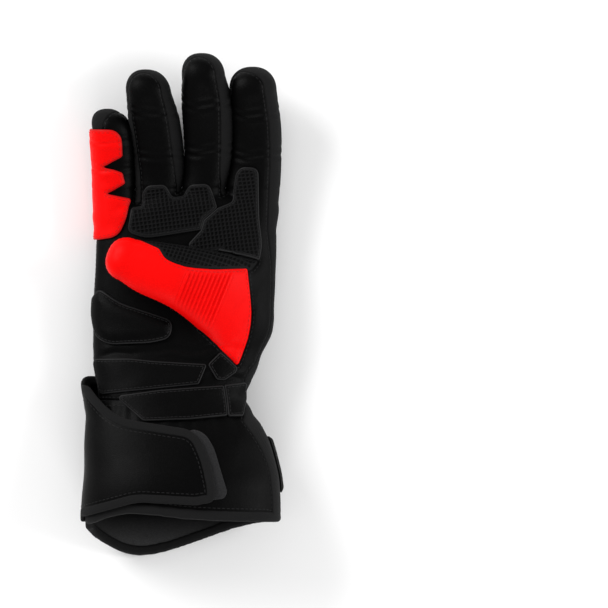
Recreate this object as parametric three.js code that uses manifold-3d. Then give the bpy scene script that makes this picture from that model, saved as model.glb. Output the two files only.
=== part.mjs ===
// A long leather racing glove for the right hand, lying on its back with the palm up.
// Units are millimetres. +X is the index finger's side, +Y runs to the fingertips, +Z is up.
// The glove is built round a flat middle surface, so a height here is a distance from that
// surface. The last step lifts every point by the height of the middle surface, which carries
// the thick cuff and the thin wrist and curls the fingers upwards.
import * as THREE from "three";
import Module from "manifold-3d";
import { mergeVertices } from "three/addons/utils/BufferGeometryUtils.js";

const wasm = await Module();
wasm.setup();

// Driving sizes
const LEATHER = 2.0; // wall of the hand and the cuff
const GAP = 0.3; // between two pieces
const SEAM = GAP / 2;
const ON_TOP = 0.45; // from the hand up to the underside of what is sewn on it
const PATCH = 1.8; // height of the grip patches' top over the hand
const THIN_PANEL = 1.5; // wrist panel and thumb tab
const GUARD = 2.6; // little finger guard
const STRAP = 2.5; // wrist strap and its anchor
const HEEL_EDGE = 2.4; // rim and crown of the slider pad
const HEEL_CROWN = 4.4;
const HEEL_SLOPE = 3.0;
const CLOSURE = 1.5; // top of the hook-and-loop strip
const FLAP_LIFT = 3.8; // outer face of the flap over the cuff
const FLAP_LEATHER = 1.8;
const FLAP_TAPE = 2.0; // the tape reaches this deep, and a little proud of the flap
const FLAP_TAPE_PROUD = 0.4;
const FLAP_TAPE_WIDTH = 5.0;
const FLAP_HANG = 24; // how far the flap reaches down the outer side
const TAPE_PROUD = 0.8; // hem tape and side tape over the cuff
const HEM_WIDTH = 6.0;
const LINING = 1.2;
const LINING_END = -94;
const LINING_BACK = 1.5; // the lining stops short of the hem
const BACK_PAD = 3.5;
const WRIST_SEAM = -62; // the cuff is sewn to the hand here, under the strap
const SIDE_STRIP = 5; // half height of the side wall along the hand's thumb side
const STRIP_END = -46;
const STRIP_INNER = 25; // both side walls of the thumb side lie beyond these places along X
const INDEX_WALL_INNER = 30;
const LITTLE_WALL_START = 60; // the guard covers the little finger's side wall from here down
const GUARD_WRAP = 7; // how far the guard reaches round the outer edge
const RIB_PITCH = 2.6; // stretch ribs of the thumb
const RIB_DEPTH = 0.55;
const RIB_FIRST = 14;
const RIB_COUNT = 16;
const RIB_FADE = 0.86; // ribs run out at this share of the thumb's half width
const FAR = 260; // beyond the glove in every direction

const HAND_SIDES = 24; // points round a section, and round the hollow inside
const HAND_HOLLOW_SIDES = 16;
const FINGER_SIDES = 12;
const FINGER_HOLLOW_SIDES = 8;
const THUMB_SIDES = 16;
const CAP_STEPS = 3;
const CAP_LAST = 0.75; // share of the last step, so that a tip ends in a small flat face
const FINGER_POWER = 2.3; // roundness of the sections, as in the hand's table
const TIP_POWER = 2.2;
const THUMB_POWER = 2.3;
const TIP_ROUND = 0.9; // how fast a fingertip narrows
const DEGREES_PER_STEP = 45;

const BLACK_LEATHER = { color: 0x0b0b0c, roughness: 0.55, metalness: 0 };
const RED_LEATHER = { color: 0xe00a0a, roughness: 0.5, metalness: 0 };
const GREY_CLOTH = { color: 0x1e1e1f, roughness: 0.8, metalness: 0 };
const GRIP = { color: 0x151516, roughness: 0.7, metalness: 0 };
const HOOK = { color: 0x38383a, roughness: 0.9, metalness: 0 };
const LINING_CLOTH = { color: 0x333335, roughness: 0.9, metalness: 0 };

function table(columns, rows) {
  return rows.map((row) => Object.fromEntries(columns.map((name, i) => [name, row[i]])));
}

// Height of the middle surface over the floor.
const MIDDLE = table(
  ["y", "height"],
  [
    [-180, 33.4],
    [-120, 32.0],
    [-104, 30.0],
    [-90, 28.0],
    [-78, 26.0],
    [-61, 23.6],
    [-42, 20.8],
    [-20, 18.5],
    [0, 17.5],
    [20, 17.0],
    [45, 16.2],
    [60, 16.0],
    [75, 16.7],
    [95, 19.4],
    [115, 24.2],
    [135, 31.0],
    [170, 46.0],
  ],
);
const CURL_START = 60;

// Hand and cuff: a section at each place along Y. The power rounds it, 2 being an ellipse.
const HAND = table(
  ["y", "left", "right", "half", "power"],
  [
    [-176, -61.2, 63.6, 34.6, 2.2],
    [-142, -60.2, 63.2, 34.2, 2.2],
    [-112, -58.6, 61.6, 32.2, 2.2],
    [-90, -57.6, 56.5, 28.6, 2.2],
    [-78, -56.0, 50.2, 26.2, 2.2],
    [-69, -54.0, 45.0, 24.0, 2.2],
    [-61, -52.6, 40.9, 22.4, 2.3],
    [-51, -53.5, 42.8, 21.2, 2.3],
    [-42, -55.0, 46.8, 20.2, 2.4],
    [-20, -56.5, 56.2, 19.0, 2.5],
    [0, -56.0, 58.7, 18.5, 2.5],
    [20, -54.8, 59.4, 18.0, 2.5],
    [40, -54.2, 60.4, 17.5, 2.5],
    [58, -54.4, 61.2, 16.5, 2.5],
    [66, -53.8, 61.2, 14.5, 2.5],
    [70.5, -52.0, 59.4, 10.0, 2.4],
  ],
);

// Fingers: the edges as seen from the palm, and how wide the grey side wall shows there.
const FINGER_COLUMNS = ["y", "left", "right", "side"];
const FINGERS = {
  index: {
    tip: { x: 45.6, y: 150.4 },
    half: 13.5,
    wallSide: 1,
    rows: table(FINGER_COLUMNS, [
      [45, 28.0, 60.4, 3.6],
      [75, 27.8, 62.4, 6.2],
      [90, 30.8, 62.7, 6.2],
      [112, 32.8, 63.1, 7.0],
      [136, 31.8, 60.0, 7.2],
    ]),
  },
  middle: {
    tip: { x: 12.6, y: 159.8 },
    half: 14,
    wallSide: 1,
    rows: table(FINGER_COLUMNS, [
      [45, 0.0, 26.6, 1.0],
      [75, 0.4, 26.6, 1.6],
      [84, 1.2, 28.8, 4.8],
      [102, 2.3, 31.4, 6.8],
      [128, 1.8, 29.9, 6.6],
      [145, 1.4, 27.0, 5.6],
    ]),
  },
  ring: {
    tip: { x: -22.6, y: 149.2 },
    half: 13.2,
    wallSide: 1,
    rows: table(FINGER_COLUMNS, [
      [45, -28.4, -1.0, 0.8],
      [74, -28.2, -0.6, 1.2],
      [84, -28.2, 0.2, 4.4],
      [102, -29.8, -0.6, 6.0],
      [119, -33.0, -3.0, 6.4],
      [134, -34.0, -7.2, 5.6],
    ]),
  },
  little: {
    tip: { x: -46.6, y: 124.0 },
    half: 12,
    wallSide: -1,
    rows: table(FINGER_COLUMNS, [
      [45, -53.4, -29.6, 5.0],
      [75, -54.6, -29.8, 5.6],
      [90, -55.2, -30.4, 6.0],
      [102, -56.1, -31.4, 6.2],
      [112, -56.8, -32.6, 6.2],
    ]),
  },
};
const TIP_DROP = 1.8; // the black front ends this far below the fingertip

// Thumb, folded over the palm. The root is in the hand's edge and along runs to the tip.
const THUMB_ROOT = { x: 44, y: -8 };
const THUMB_ANGLE = THREE.MathUtils.degToRad(157.6);
const THUMB_TIP = 101;
const THUMB = table(
  ["along", "side", "width", "height", "thick"],
  [
    [0, 0.0, 30.0, 2.0, 14.0],
    [7.7, 1.7, 29.4, 8.0, 15.0],
    [21.2, 5.0, 27.7, 17.5, 15.0],
    [36.8, 6.1, 23.6, 27.5, 14.5],
    [52.1, 5.9, 20.4, 34.4, 13.3],
    [72.7, 4.0, 17.6, 35.0, 13.0],
    [85.9, 3.7, 14.8, 34.6, 12.4],
  ],
);

// Outlines seen from the palm; round is the radius of the corner.
const CORNERS = ["x", "y", "round"];
const THUMB_BACK = table(CORNERS, [
  [42.7, 22.1, 1],
  [45.6, -5.8, 20],
  [43.4, -22.4, 8],
  [36.3, -40.3, 1],
  [26.1, -30.1, 10],
  [12.0, -17.0, 12],
  [-4.0, -9.0, 10],
  [-26.4, -4.0, 8],
  [-56.0, 8.0, 8],
  [-64.0, 34.0, 10],
  [-54.0, 50.0, 8],
  [-37.0, 44.6, 6],
  [-25.1, 40.3, 10],
  [-14.2, 35.2, 3],
  [-10.4, 28.2, 8],
  [2.4, 22.7, 12],
  [21.6, 21.4, 20],
]);
const PALM_GRIP = table(CORNERS, [
  [-23.8, 70.4, 3],
  [-20.6, 74.6, 4],
  [-11.0, 75.2, 3],
  [-5.9, 67.2, 4],
  [1.8, 67.8, 4],
  [5.6, 75.2, 5],
  [17.1, 75.5, 5],
  [22.7, 61.0, 2],
  [14.3, 53.8, 3],
  [12.3, 47.0, 1],
  [-11.7, 43.1, 10],
  [-23.4, 41.9, 10],
  [-34.0, 45.8, 4],
  [-31.6, 60.2, 2],
  [-24.0, 61.4, 3],
]);
const INDEX_GRIP = table(CORNERS, [
  [23.1, 60.4, 2],
  [33.1, 64.3, 3],
  [35.4, 83.8, 5],
  [39.5, 85.8, 4],
  [48.5, 85.4, 3],
  [49.1, 53.8, 10],
  [50.7, 35.8, 10],
  [47.8, 26.2, 6],
  [28.0, 26.2, 5],
  [3.7, 36.5, 3],
  [12.8, 46.4, 2],
  [14.8, 53.1, 3],
]);
const GUARD_OUTLINE = table(CORNERS, [
  [-70.0, 110.2, 1],
  [-44.3, 109.8, 6],
  [-38.6, 104.3, 4],
  [-38.2, 93.4, 1],
  [-50.1, 87.0, 1],
  [-37.9, 83.2, 1],
  [-36.3, 76.5, 1],
  [-47.8, 69.8, 1],
  [-33.1, 66.6, 1],
  [-35.0, 54.4, 8],
  [-40.5, 42.9, 6],
  [-52.0, 40.5, 6],
  [-70.0, 40.5, 1],
]);
const HEEL_OUTLINE = table(CORNERS, [
  [-54.8, 4.0, 4],
  [-50.7, 8.3, 4],
  [-39.2, -0.3, 8],
  [-14.9, -8.3, 10],
  [-6.6, -12.2, 5],
  [-7.2, -21.1, 6],
  [-20.0, -25.3, 10],
  [-45.6, -25.9, 8],
  [-53.6, -20.8, 5],
  [-55.6, -8.0, 12],
]);
const WRIST_OUTLINE = table(CORNERS, [
  [-52.6, -37.8, 2],
  [-20.0, -39.0, 20],
  [15.8, -40.6, 1],
  [11.0, -52.5, 1],
  [-34.1, -57.0, 10],
  [-47.6, -58.0, 5],
  [-51.0, -54.4, 4],
]);
const TAB_OUTLINE = table(CORNERS, [
  [21.0, -32.6, 1],
  [28.6, -37.8, 3],
  [36.6, -41.6, 1],
  [31.8, -46.4, 5],
  [25.1, -49.6, 2],
  [17.4, -39.7, 2],
]);
const STRAP_OUTLINE = table(CORNERS, [
  [-38.2, -59.5, 2],
  [-13.6, -56.0, 20],
  [26.7, -52.8, 1],
  [29.0, -72.2, 1],
  [5.6, -74.9, 20],
  [-24.8, -75.5, 2],
  [-38.6, -62.1, 2],
]);
const ANCHOR_OUTLINE = table(CORNERS, [
  [27.5, -53.3, 1],
  [40.2, -51.8, 1],
  [40.0, -64.0, 2],
  [38.8, -73.0, 1],
  [29.9, -72.6, 1],
]);
// The flap as seen from the palm, and its part that wraps under the glove's outer edge.
const FLAP_FRONT = table(CORNERS, [
  [-80.0, -53.0, 1],
  [-59.7, -53.4, 4],
  [-48.8, -66.2, 8],
  [-37.9, -73.9, 14],
  [3.7, -80.6, 8],
  [10.7, -85.1, 8],
  [17.6, -99.8, 14],
  [22.1, -121.6, 8],
  [20.3, -126.1, 4],
  [12.0, -129.0, 5],
  [-28.3, -127.6, 12],
  [-62.2, -136.3, 4],
  [-80.0, -137.0, 1],
]);
const FLAP_BACK = table(CORNERS, [
  [-80.0, -53.0, 1],
  [-63.5, -53.0, 3],
  [-59.0, -47.0, 4],
  [-30.0, -47.0, 1],
  [-30.0, -140.0, 1],
  [-55.0, -140.0, 6],
  [-62.0, -136.6, 4],
  [-80.0, -137.0, 1],
]);
// How far the flap's top stands off the wrist at the outer edge.
const FLAP_STAND = table(
  ["y", "off"],
  [
    [-150, 0],
    [-90, 0],
    [-82, 1.4],
    [-72, 4.6],
    [-62, 6.8],
    [-52, 6.0],
    [-38, 5.0],
  ],
);
const FLAP_TOP = -38;
const FLAP_BOTTOM = -150;
const CLOSURE_OUTLINE = table(CORNERS, [
  [6.2, -81.5, 3],
  [13.9, -83.8, 7],
  [19.7, -91.5, 8],
  [28.6, -120.3, 4],
  [27.7, -124.2, 3],
  [15.2, -126.7, 3],
  [5.6, -106.9, 3],
]);
const SIDE_TAPE = table(CORNERS, [
  [40.6, -62.6, 1],
  [80.0, -62.6, 1],
  [80.0, -150.0, 1],
  [58.3, -150.0, 1],
  [58.3, -126.1, 10],
  [55.8, -101.8, 12],
  [49.1, -87.7, 14],
  [39.4, -74.6, 3],
]);
const BACK_PAD_OUTLINE = table(CORNERS, [
  [43.0, -84.0, 6],
  [80.0, -84.0, 1],
  [80.0, -121.5, 1],
  [47.0, -121.5, 8],
]);
const BACK_PAD_REACH = 22;

// Lower edge of the cuff's front and of its longer back.
const HEM_FRONT = table(
  ["x", "y"],
  [
    [-90, -141.5],
    [-61, -141.2],
    [-48.8, -137.4],
    [-34.7, -134.6],
    [-20, -135.2],
    [5.6, -138.0],
    [37.6, -139.4],
    [90, -139.8],
  ],
);
const HEM_BACK = table(
  ["x", "y"],
  [
    [-90, -141.0],
    [-61, -142.2],
    [-55.2, -148.2],
    [-42.4, -156.5],
    [-27.7, -160.6],
    [-10.4, -158.1],
    [16.5, -149.1],
    [37.6, -142.7],
    [54.2, -139.8],
    [90, -139.8],
  ],
);
const HEM_STEPS = 16;

// Value of a column between its rows, on a smooth curve through them.
function smooth(rows, key, at, column) {
  const last = rows.length - 1;
  const clamped = Math.min(Math.max(at, rows[0][key]), rows[last][key]);
  let i = 0;
  while (i < last - 1 && rows[i + 1][key] < clamped) i += 1;
  const slope = (j) => {
    const a = rows[Math.max(j - 1, 0)];
    const b = rows[Math.min(j + 1, last)];
    return (b[column] - a[column]) / (b[key] - a[key]);
  };
  const step = rows[i + 1][key] - rows[i][key];
  const t = (clamped - rows[i][key]) / step;
  const rise = 3 * t * t - 2 * t * t * t;
  const start = t * (1 - t) * (1 - t) * step * slope(i);
  const end = -t * t * (1 - t) * step * slope(i + 1);
  return rows[i][column] * (1 - rise) + rows[i + 1][column] * rise + start + end;
}

const middleHeight = (y) => smooth(MIDDLE, "y", y, "height");

// The lowest height that a face may have: the leather is flattened where it lies on the floor.
function floorAt(y, offset) {
  return Math.max(0, -offset) - middleHeight(y);
}

function superellipse(angle, power) {
  const c = Math.cos(angle);
  const s = Math.sin(angle);
  return [
    Math.sign(c) * Math.abs(c) ** (2 / power),
    Math.sign(s) * Math.abs(s) ** (2 / power),
  ];
}

// A closed solid through rings of points, each with as many points as the others.
function loft(rings) {
  const count = rings[0].length;
  const points = rings.flat();
  const triangles = [];
  for (let r = 0; r + 1 < rings.length; r += 1) {
    for (let i = 0; i < count; i += 1) {
      const a = r * count + i;
      const b = r * count + ((i + 1) % count);
      triangles.push(a, b, b + count, a, b + count, a + count);
    }
  }
  const end = (rings.length - 1) * count;
  for (let i = 1; i + 1 < count; i += 1) {
    triangles.push(0, i + 1, i, end, end + i, end + i + 1);
  }
  return solid(points.flat(), triangles);
}

function signedVolume(positions, triangles) {
  let sum = 0;
  const corner = (i) => new THREE.Vector3().fromArray(positions, 3 * triangles[i]);
  for (let i = 0; i < triangles.length; i += 3) {
    sum += corner(i).dot(corner(i + 1).cross(corner(i + 2)));
  }
  return sum / 6;
}

function solid(positions, triangles) {
  const faces = [...triangles];
  if (signedVolume(positions, faces) < 0) faces.reverse();
  const mesh = new wasm.Mesh({
    numProp: 3,
    vertProperties: new Float32Array(positions),
    triVerts: new Uint32Array(faces),
  });
  return new wasm.Manifold(mesh);
}

// A section of the hand or the cuff, grown outwards by the offset.
function sectionRing(y, left, right, half, power, offset, sides) {
  const centre = (left + right) / 2;
  const reach = (right - left) / 2 + offset;
  const low = floorAt(y, offset);
  return Array.from({ length: sides }, (_, i) => {
    const [c, s] = superellipse((2 * Math.PI * (i + 0.5)) / sides, power);
    return [centre + reach * c, y, Math.max((half + offset) * s, low)];
  });
}

function handSolid(offset) {
  const last = HAND.length - 1;
  const sides = offset < 0 ? HAND_HOLLOW_SIDES : HAND_SIDES;
  return loft(
    HAND.map((row, i) => {
      const y = i === last ? row.y + offset : row.y;
      return sectionRing(y, row.left, row.right, row.half, row.power, offset, sides);
    }),
  );
}

function fingerSolid(finger, offset) {
  const rows = finger.rows;
  const sides = offset < 0 ? FINGER_HOLLOW_SIDES : FINGER_SIDES;
  const rings = rows.map((row) =>
    sectionRing(row.y, row.left, row.right, finger.half, FINGER_POWER, offset, sides),
  );
  const base = rows[rows.length - 1];
  const centre = (base.left + base.right) / 2;
  const width = (base.right - base.left) / 2;
  for (let k = 1; k <= CAP_STEPS; k += 1) {
    const turn = ((k - 1 + CAP_LAST) / CAP_STEPS) * (Math.PI / 2);
    const shrink = Math.cos(turn) ** TIP_ROUND;
    const ahead = Math.sin(turn);
    const y = base.y + (finger.tip.y + offset - base.y) * ahead;
    const x = centre + (finger.tip.x - centre) * ahead;
    const w = (width + offset) * shrink;
    const h = (finger.half + offset) * shrink;
    rings.push(sectionRing(y, x - w, x + w, h, TIP_POWER, 0, sides));
  }
  return loft(rings);
}

const thumbAxis = { x: Math.cos(THUMB_ANGLE), y: Math.sin(THUMB_ANGLE) };
const thumbSide = { x: thumbAxis.y, y: -thumbAxis.x };
const thumbCap = THUMB[THUMB.length - 1];

// Centre and half sizes of the thumb at a place along it, with its rounded tip.
function thumbSection(along, offset) {
  const inCap = along > thumbCap.along;
  const at = Math.min(along, thumbCap.along);
  const value = (column) => smooth(THUMB, "along", at, column);
  const reach = THUMB_TIP + offset - thumbCap.along;
  const ahead = inCap ? Math.min((along - thumbCap.along) / reach, 1) : 0;
  const shrink = (1 - ahead ** TIP_POWER) ** (1 / TIP_POWER);
  return {
    side: value("side"),
    height: value("height"),
    width: (value("width") + offset) * shrink,
    thick: (value("thick") + offset) * shrink,
  };
}

function thumbPoint(along, side, height) {
  return [
    THUMB_ROOT.x + thumbAxis.x * along + thumbSide.x * side,
    THUMB_ROOT.y + thumbAxis.y * along + thumbSide.y * side,
    height,
  ];
}

function ribHeight(along, across) {
  const place = (along - RIB_FIRST) / RIB_PITCH;
  if (place < 0 || place > RIB_COUNT) return 0;
  const fade = Math.max(0, 1 - (Math.abs(across) / RIB_FADE) ** 4);
  return RIB_DEPTH * Math.cos(2 * Math.PI * place) * fade;
}

function thumbSolid(offset, ribbed = false) {
  const places = THUMB.map((row) => row.along);
  if (ribbed) {
    const inside = (along) =>
      along > RIB_FIRST - RIB_PITCH && along < RIB_FIRST + RIB_COUNT * RIB_PITCH;
    const ribs = Array.from(
      { length: 2 * RIB_COUNT + 1 },
      (_, i) => RIB_FIRST + (i * RIB_PITCH) / 2,
    );
    const plain = places.filter((along) => !inside(along));
    places.splice(0, places.length, ...plain, ...ribs);
    places.sort((a, b) => a - b);
  }
  for (let k = 1; k <= CAP_STEPS; k += 1) {
    const turn = ((k - 1 + CAP_LAST) / CAP_STEPS) * (Math.PI / 2);
    places.push(thumbCap.along + (THUMB_TIP + offset - thumbCap.along) * Math.sin(turn));
  }
  const rings = places.map((along) => {
    const section = thumbSection(along, offset);
    return Array.from({ length: THUMB_SIDES }, (_, i) => {
      const [c, s] = superellipse((2 * Math.PI * (i + 0.5)) / THUMB_SIDES, THUMB_POWER);
      const rib = ribbed && s > 0 ? ribHeight(along, c) : 0;
      const side = section.side + section.width * c;
      return thumbPoint(along, side, section.height + section.thick * s + rib);
    });
  });
  return loft(rings);
}

// The space over the thumb's axis, or under it.
function besideThumbAxis(above, shift) {
  const places = [-30, ...THUMB.map((row) => row.along), THUMB_TIP + 30];
  const rings = places.map((along) => {
    const level = smooth(THUMB, "along", along, "height") + shift;
    const far = above ? level + FAR : level - FAR;
    return [
      thumbPoint(along, -FAR, level),
      thumbPoint(along, FAR, level),
      thumbPoint(along, FAR, far),
      thumbPoint(along, -FAR, far),
    ];
  });
  return loft(rings);
}

// Corner points moved outwards, then rounded with arcs.
function outlinePoints(corners, grow) {
  const count = corners.length;
  const at = (i) => corners[(i + count) % count];
  let area = 0;
  corners.forEach((a, i) => {
    const b = at(i + 1);
    area += a.x * b.y - b.x * a.y;
  });
  const turn = Math.sign(area);
  const direction = (a, b) => new THREE.Vector2(b.x - a.x, b.y - a.y).normalize();
  const moved = corners.map((corner, i) => {
    const before = direction(at(i - 1), corner);
    const after = direction(corner, at(i + 1));
    const outA = new THREE.Vector2(before.y, -before.x).multiplyScalar(turn);
    const outB = new THREE.Vector2(after.y, -after.x).multiplyScalar(turn);
    const reach = grow / (1 + outA.dot(outB));
    const convex = before.cross(after) * turn > 0;
    return {
      x: corner.x + reach * (outA.x + outB.x),
      y: corner.y + reach * (outA.y + outB.y),
      round: Math.max(0.2, corner.round + (convex ? grow : -grow)),
    };
  });
  const points = [];
  moved.forEach((corner, i) => {
    const a = moved[(i - 1 + count) % count];
    const b = moved[(i + 1) % count];
    const toA = direction(corner, a);
    const toB = direction(corner, b);
    const bend = Math.PI - Math.acos(THREE.MathUtils.clamp(toA.dot(toB), -1, 1));
    const edgeA = Math.hypot(a.x - corner.x, a.y - corner.y);
    const edgeB = Math.hypot(b.x - corner.x, b.y - corner.y);
    const room = 0.48 * Math.min(edgeA, edgeB);
    const cut = Math.min(corner.round * Math.tan(bend / 2), room);
    const steps = Math.max(1, Math.round(THREE.MathUtils.radToDeg(bend) / DEGREES_PER_STEP));
    for (let k = 0; k <= steps; k += 1) {
      const t = k / steps;
      const fromA = (1 - t) * (1 - t) * cut;
      const fromB = t * t * cut;
      points.push(new THREE.Vector2(
        corner.x + toA.x * fromA + toB.x * fromB,
        corner.y + toA.y * fromA + toB.y * fromB,
      ));
    }
  });
  return points;
}

// An upright block over a flat outline.
function block(points, low = -FAR, high = FAR) {
  const geometry = new THREE.ExtrudeGeometry(new THREE.Shape(points), {
    depth: high - low,
    bevelEnabled: false,
  });
  geometry.deleteAttribute("normal");
  geometry.deleteAttribute("uv");
  geometry.translate(0, 0, low);
  const merged = mergeVertices(geometry);
  return solid([...merged.attributes.position.array], [...merged.index.array]);
}

const outline = (corners, grow = 0, low = -FAR, high = FAR) =>
  block(outlinePoints(corners, grow), low, high);

function box(xLow, xHigh, yLow, yHigh, zLow, zHigh) {
  const corners = [
    [xLow, yLow],
    [xHigh, yLow],
    [xHigh, yHigh],
    [xLow, yHigh],
  ];
  return block(corners.map(([x, y]) => new THREE.Vector2(x, y)), zLow, zHigh);
}

const everything = (yLow, yHigh, zLow = -FAR, zHigh = FAR) =>
  box(-FAR, FAR, yLow, yHigh, zLow, zHigh);
const front = everything(-FAR, FAR, SEAM, FAR);
const back = everything(-FAR, FAR, -FAR, -SEAM);

function joined(solids) {
  return solids.reduce((sum, next) => sum.add(next));
}

// The hand with its four fingers, and a layer of it between two offsets.
const grown = new Map();
function hand(offset) {
  if (!grown.has(offset)) {
    const fingers = Object.values(FINGERS).map((finger) => fingerSolid(finger, offset));
    grown.set(offset, joined([handSolid(offset), ...fingers]));
  }
  return grown.get(offset);
}
const layer = (low, high) => hand(high).subtract(hand(low));

// The front of a finger between its seams: the grey side wall lies outside of it.
function fingerFront(finger, grow) {
  const wall = finger.wallSide;
  const rows = finger.rows;
  const base = rows[rows.length - 1];
  const plainEdge = (row) => (wall > 0 ? row.left - 8 : row.right + 8);
  const seamEdge = (row) =>
    wall > 0 ? row.right - row.side + grow : row.left + row.side - grow;
  const seamX = seamEdge(base);
  const openX = (wall > 0 ? base.left - 0.5 : base.right + 0.5);
  const topX = finger.tip.x - (wall * base.side) / 2;
  const topY = finger.tip.y - TIP_DROP + grow;
  const start = rows[0].y - 5;
  const points = [[plainEdge(rows[0]), start], [plainEdge(base), base.y + 3]];
  for (let k = 0; k <= 2 * CAP_STEPS; k += 1) {
    const turn = Math.PI * (1 - k / (2 * CAP_STEPS));
    const edgeX = turn > Math.PI / 2 ? openX : seamX;
    const x = topX + Math.abs(Math.cos(turn)) * (edgeX - topX);
    points.push([x, base.y + (topY - base.y) * Math.sin(turn) ** TIP_ROUND]);
  }
  for (const row of rows.slice(0, -1).reverse()) points.push([seamEdge(row), row.y]);
  points.push([seamEdge(rows[0]), start]);
  const shape = points.map(([x, y]) => new THREE.Vector2(x, y));
  return block(shape);
}

// The region of a finger's side wall.
function sideWall(finger, grow, yLow) {
  const rows = finger.rows;
  const outer = 6;
  const xLow = Math.min(...rows.map((row) => row.left)) - outer;
  const xHigh = Math.max(...rows.map((row) => row.right)) + outer;
  const region = box(xLow, xHigh, yLow, finger.tip.y + outer, -FAR, FAR);
  return region.subtract(fingerFront(finger, -grow));
}

// The index finger's side wall runs on along the hand.
function indexWall(grow) {
  const start = FINGERS.index.rows[0].y;
  const finger = sideWall(FINGERS.index, grow, start - grow);
  const right = box(INDEX_WALL_INNER - grow, FAR, start - grow, FAR, -FAR, FAR);
  const height = SIDE_STRIP + grow;
  const strip = box(STRIP_INNER, FAR, STRIP_END - grow, start + 5, -height, height);
  return finger.intersect(right).add(strip);
}

function littleWall(grow) {
  const own = fingerSolid(FINGERS.little, GAP);
  return sideWall(FINGERS.little, grow, LITTLE_WALL_START - grow).intersect(own);
}

// Space above the front hem and above the back hem, moved up by a distance.
function aboveHem(rise) {
  const half = (rows, zLow, zHigh) => {
    const points = Array.from({ length: HEM_STEPS + 1 }, (_, i) => {
      const x = -80 + (i * 160) / HEM_STEPS;
      return new THREE.Vector2(x, smooth(rows, "x", x, "y") + rise);
    });
    points.push(new THREE.Vector2(80, FAR), new THREE.Vector2(-80, FAR));
    return block(points, zLow, zHigh);
  };
  return half(HEM_FRONT, 0, FAR).add(half(HEM_BACK, -FAR, 0));
}

// The flap's own surface, which stands off the wrist at its top.
function flapSolid(offset) {
  const places = [FLAP_BOTTOM, ...HAND.map((row) => row.y), FLAP_TOP].filter(
    (y) => y >= FLAP_BOTTOM && y <= FLAP_TOP,
  );
  const lift = FLAP_LIFT + offset;
  return loft(
    places.map((y) => {
      const value = (column) => smooth(HAND, "y", y, column);
      const left = value("left") - smooth(FLAP_STAND, "y", y, "off");
      return sectionRing(
        y, left, value("right"), value("half"), value("power"), lift, HAND_SIDES,
      );
    }),
  );
}

function flapRegion(inset, hang) {
  const frontPart = outline(FLAP_FRONT, -inset, -0.01, FAR);
  const backPart = outline(FLAP_BACK, -inset, -hang, 0.01);
  return frontPart.add(backPart);
}

const thumbPlain = thumbSolid(0);
const thumbHollow = thumbSolid(-LEATHER);
const thumbClear = thumbSolid(GAP);
const inside = hand(-LEATHER).add(thumbHollow);
const wall = hand(0).subtract(inside);
const redRegion = (grow) =>
  outline(THUMB_BACK, grow).intersect(besideThumbAxis(true, SEAM - grow));

function fingerWalls(grow) {
  const between = ["middle", "ring"].map((name) => {
    const region = sideWall(FINGERS[name], grow, FINGERS[name].rows[0].y);
    const own = fingerSolid(FINGERS[name], GAP);
    return own.intersect(region).subtract(handSolid(0));
  });
  return joined([...between, indexWall(grow), littleWall(grow)]);
}

// The largest part of a solid, without crumbs that a cut left over.
function largest(piece) {
  const parts = piece.decompose();
  return parts.reduce((best, next) => (next.volume() > best.volume() ? next : best));
}

const notFingerWalls = wall.subtract(fingerWalls(GAP));
const handPart = notFingerWalls.intersect(everything(WRIST_SEAM + SEAM, FAR));
const cuffPart = wall
  .intersect(everything(-FAR, WRIST_SEAM - SEAM))
  .intersect(aboveHem(HEM_WIDTH + GAP));

function betweenFingers(name) {
  const finger = FINGERS[name];
  const tube = fingerSolid(finger, 0).subtract(fingerSolid(finger, -LEATHER));
  const neighbours = Object.entries(FINGERS)
    .filter(([other]) => other !== name)
    .map(([, other]) => fingerSolid(other, GAP));
  return tube
    .intersect(sideWall(finger, 0, finger.rows[0].y))
    .subtract(joined([handSolid(GAP), ...neighbours]));
}

const overlay = (corners, top) =>
  layer(ON_TOP, top).intersect(outline(corners, 0, SEAM, FAR)).subtract(thumbClear);

function heelPad() {
  const rim = layer(ON_TOP, HEEL_EDGE).intersect(outline(HEEL_OUTLINE, 0, SEAM, FAR));
  const crown = layer(ON_TOP, HEEL_CROWN).intersect(
    outline(HEEL_OUTLINE, -HEEL_SLOPE, SEAM, FAR),
  );
  return rim.add(crown).subtract(thumbClear);
}

const thumbShell = thumbPlain.subtract(inside).subtract(hand(GAP));
const cuffTape = layer(-LEATHER, TAPE_PROUD);
const flapHigh = flapSolid(0);
const guardRegion = outline(GUARD_OUTLINE, 0, -GUARD_WRAP, FAR);

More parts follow.
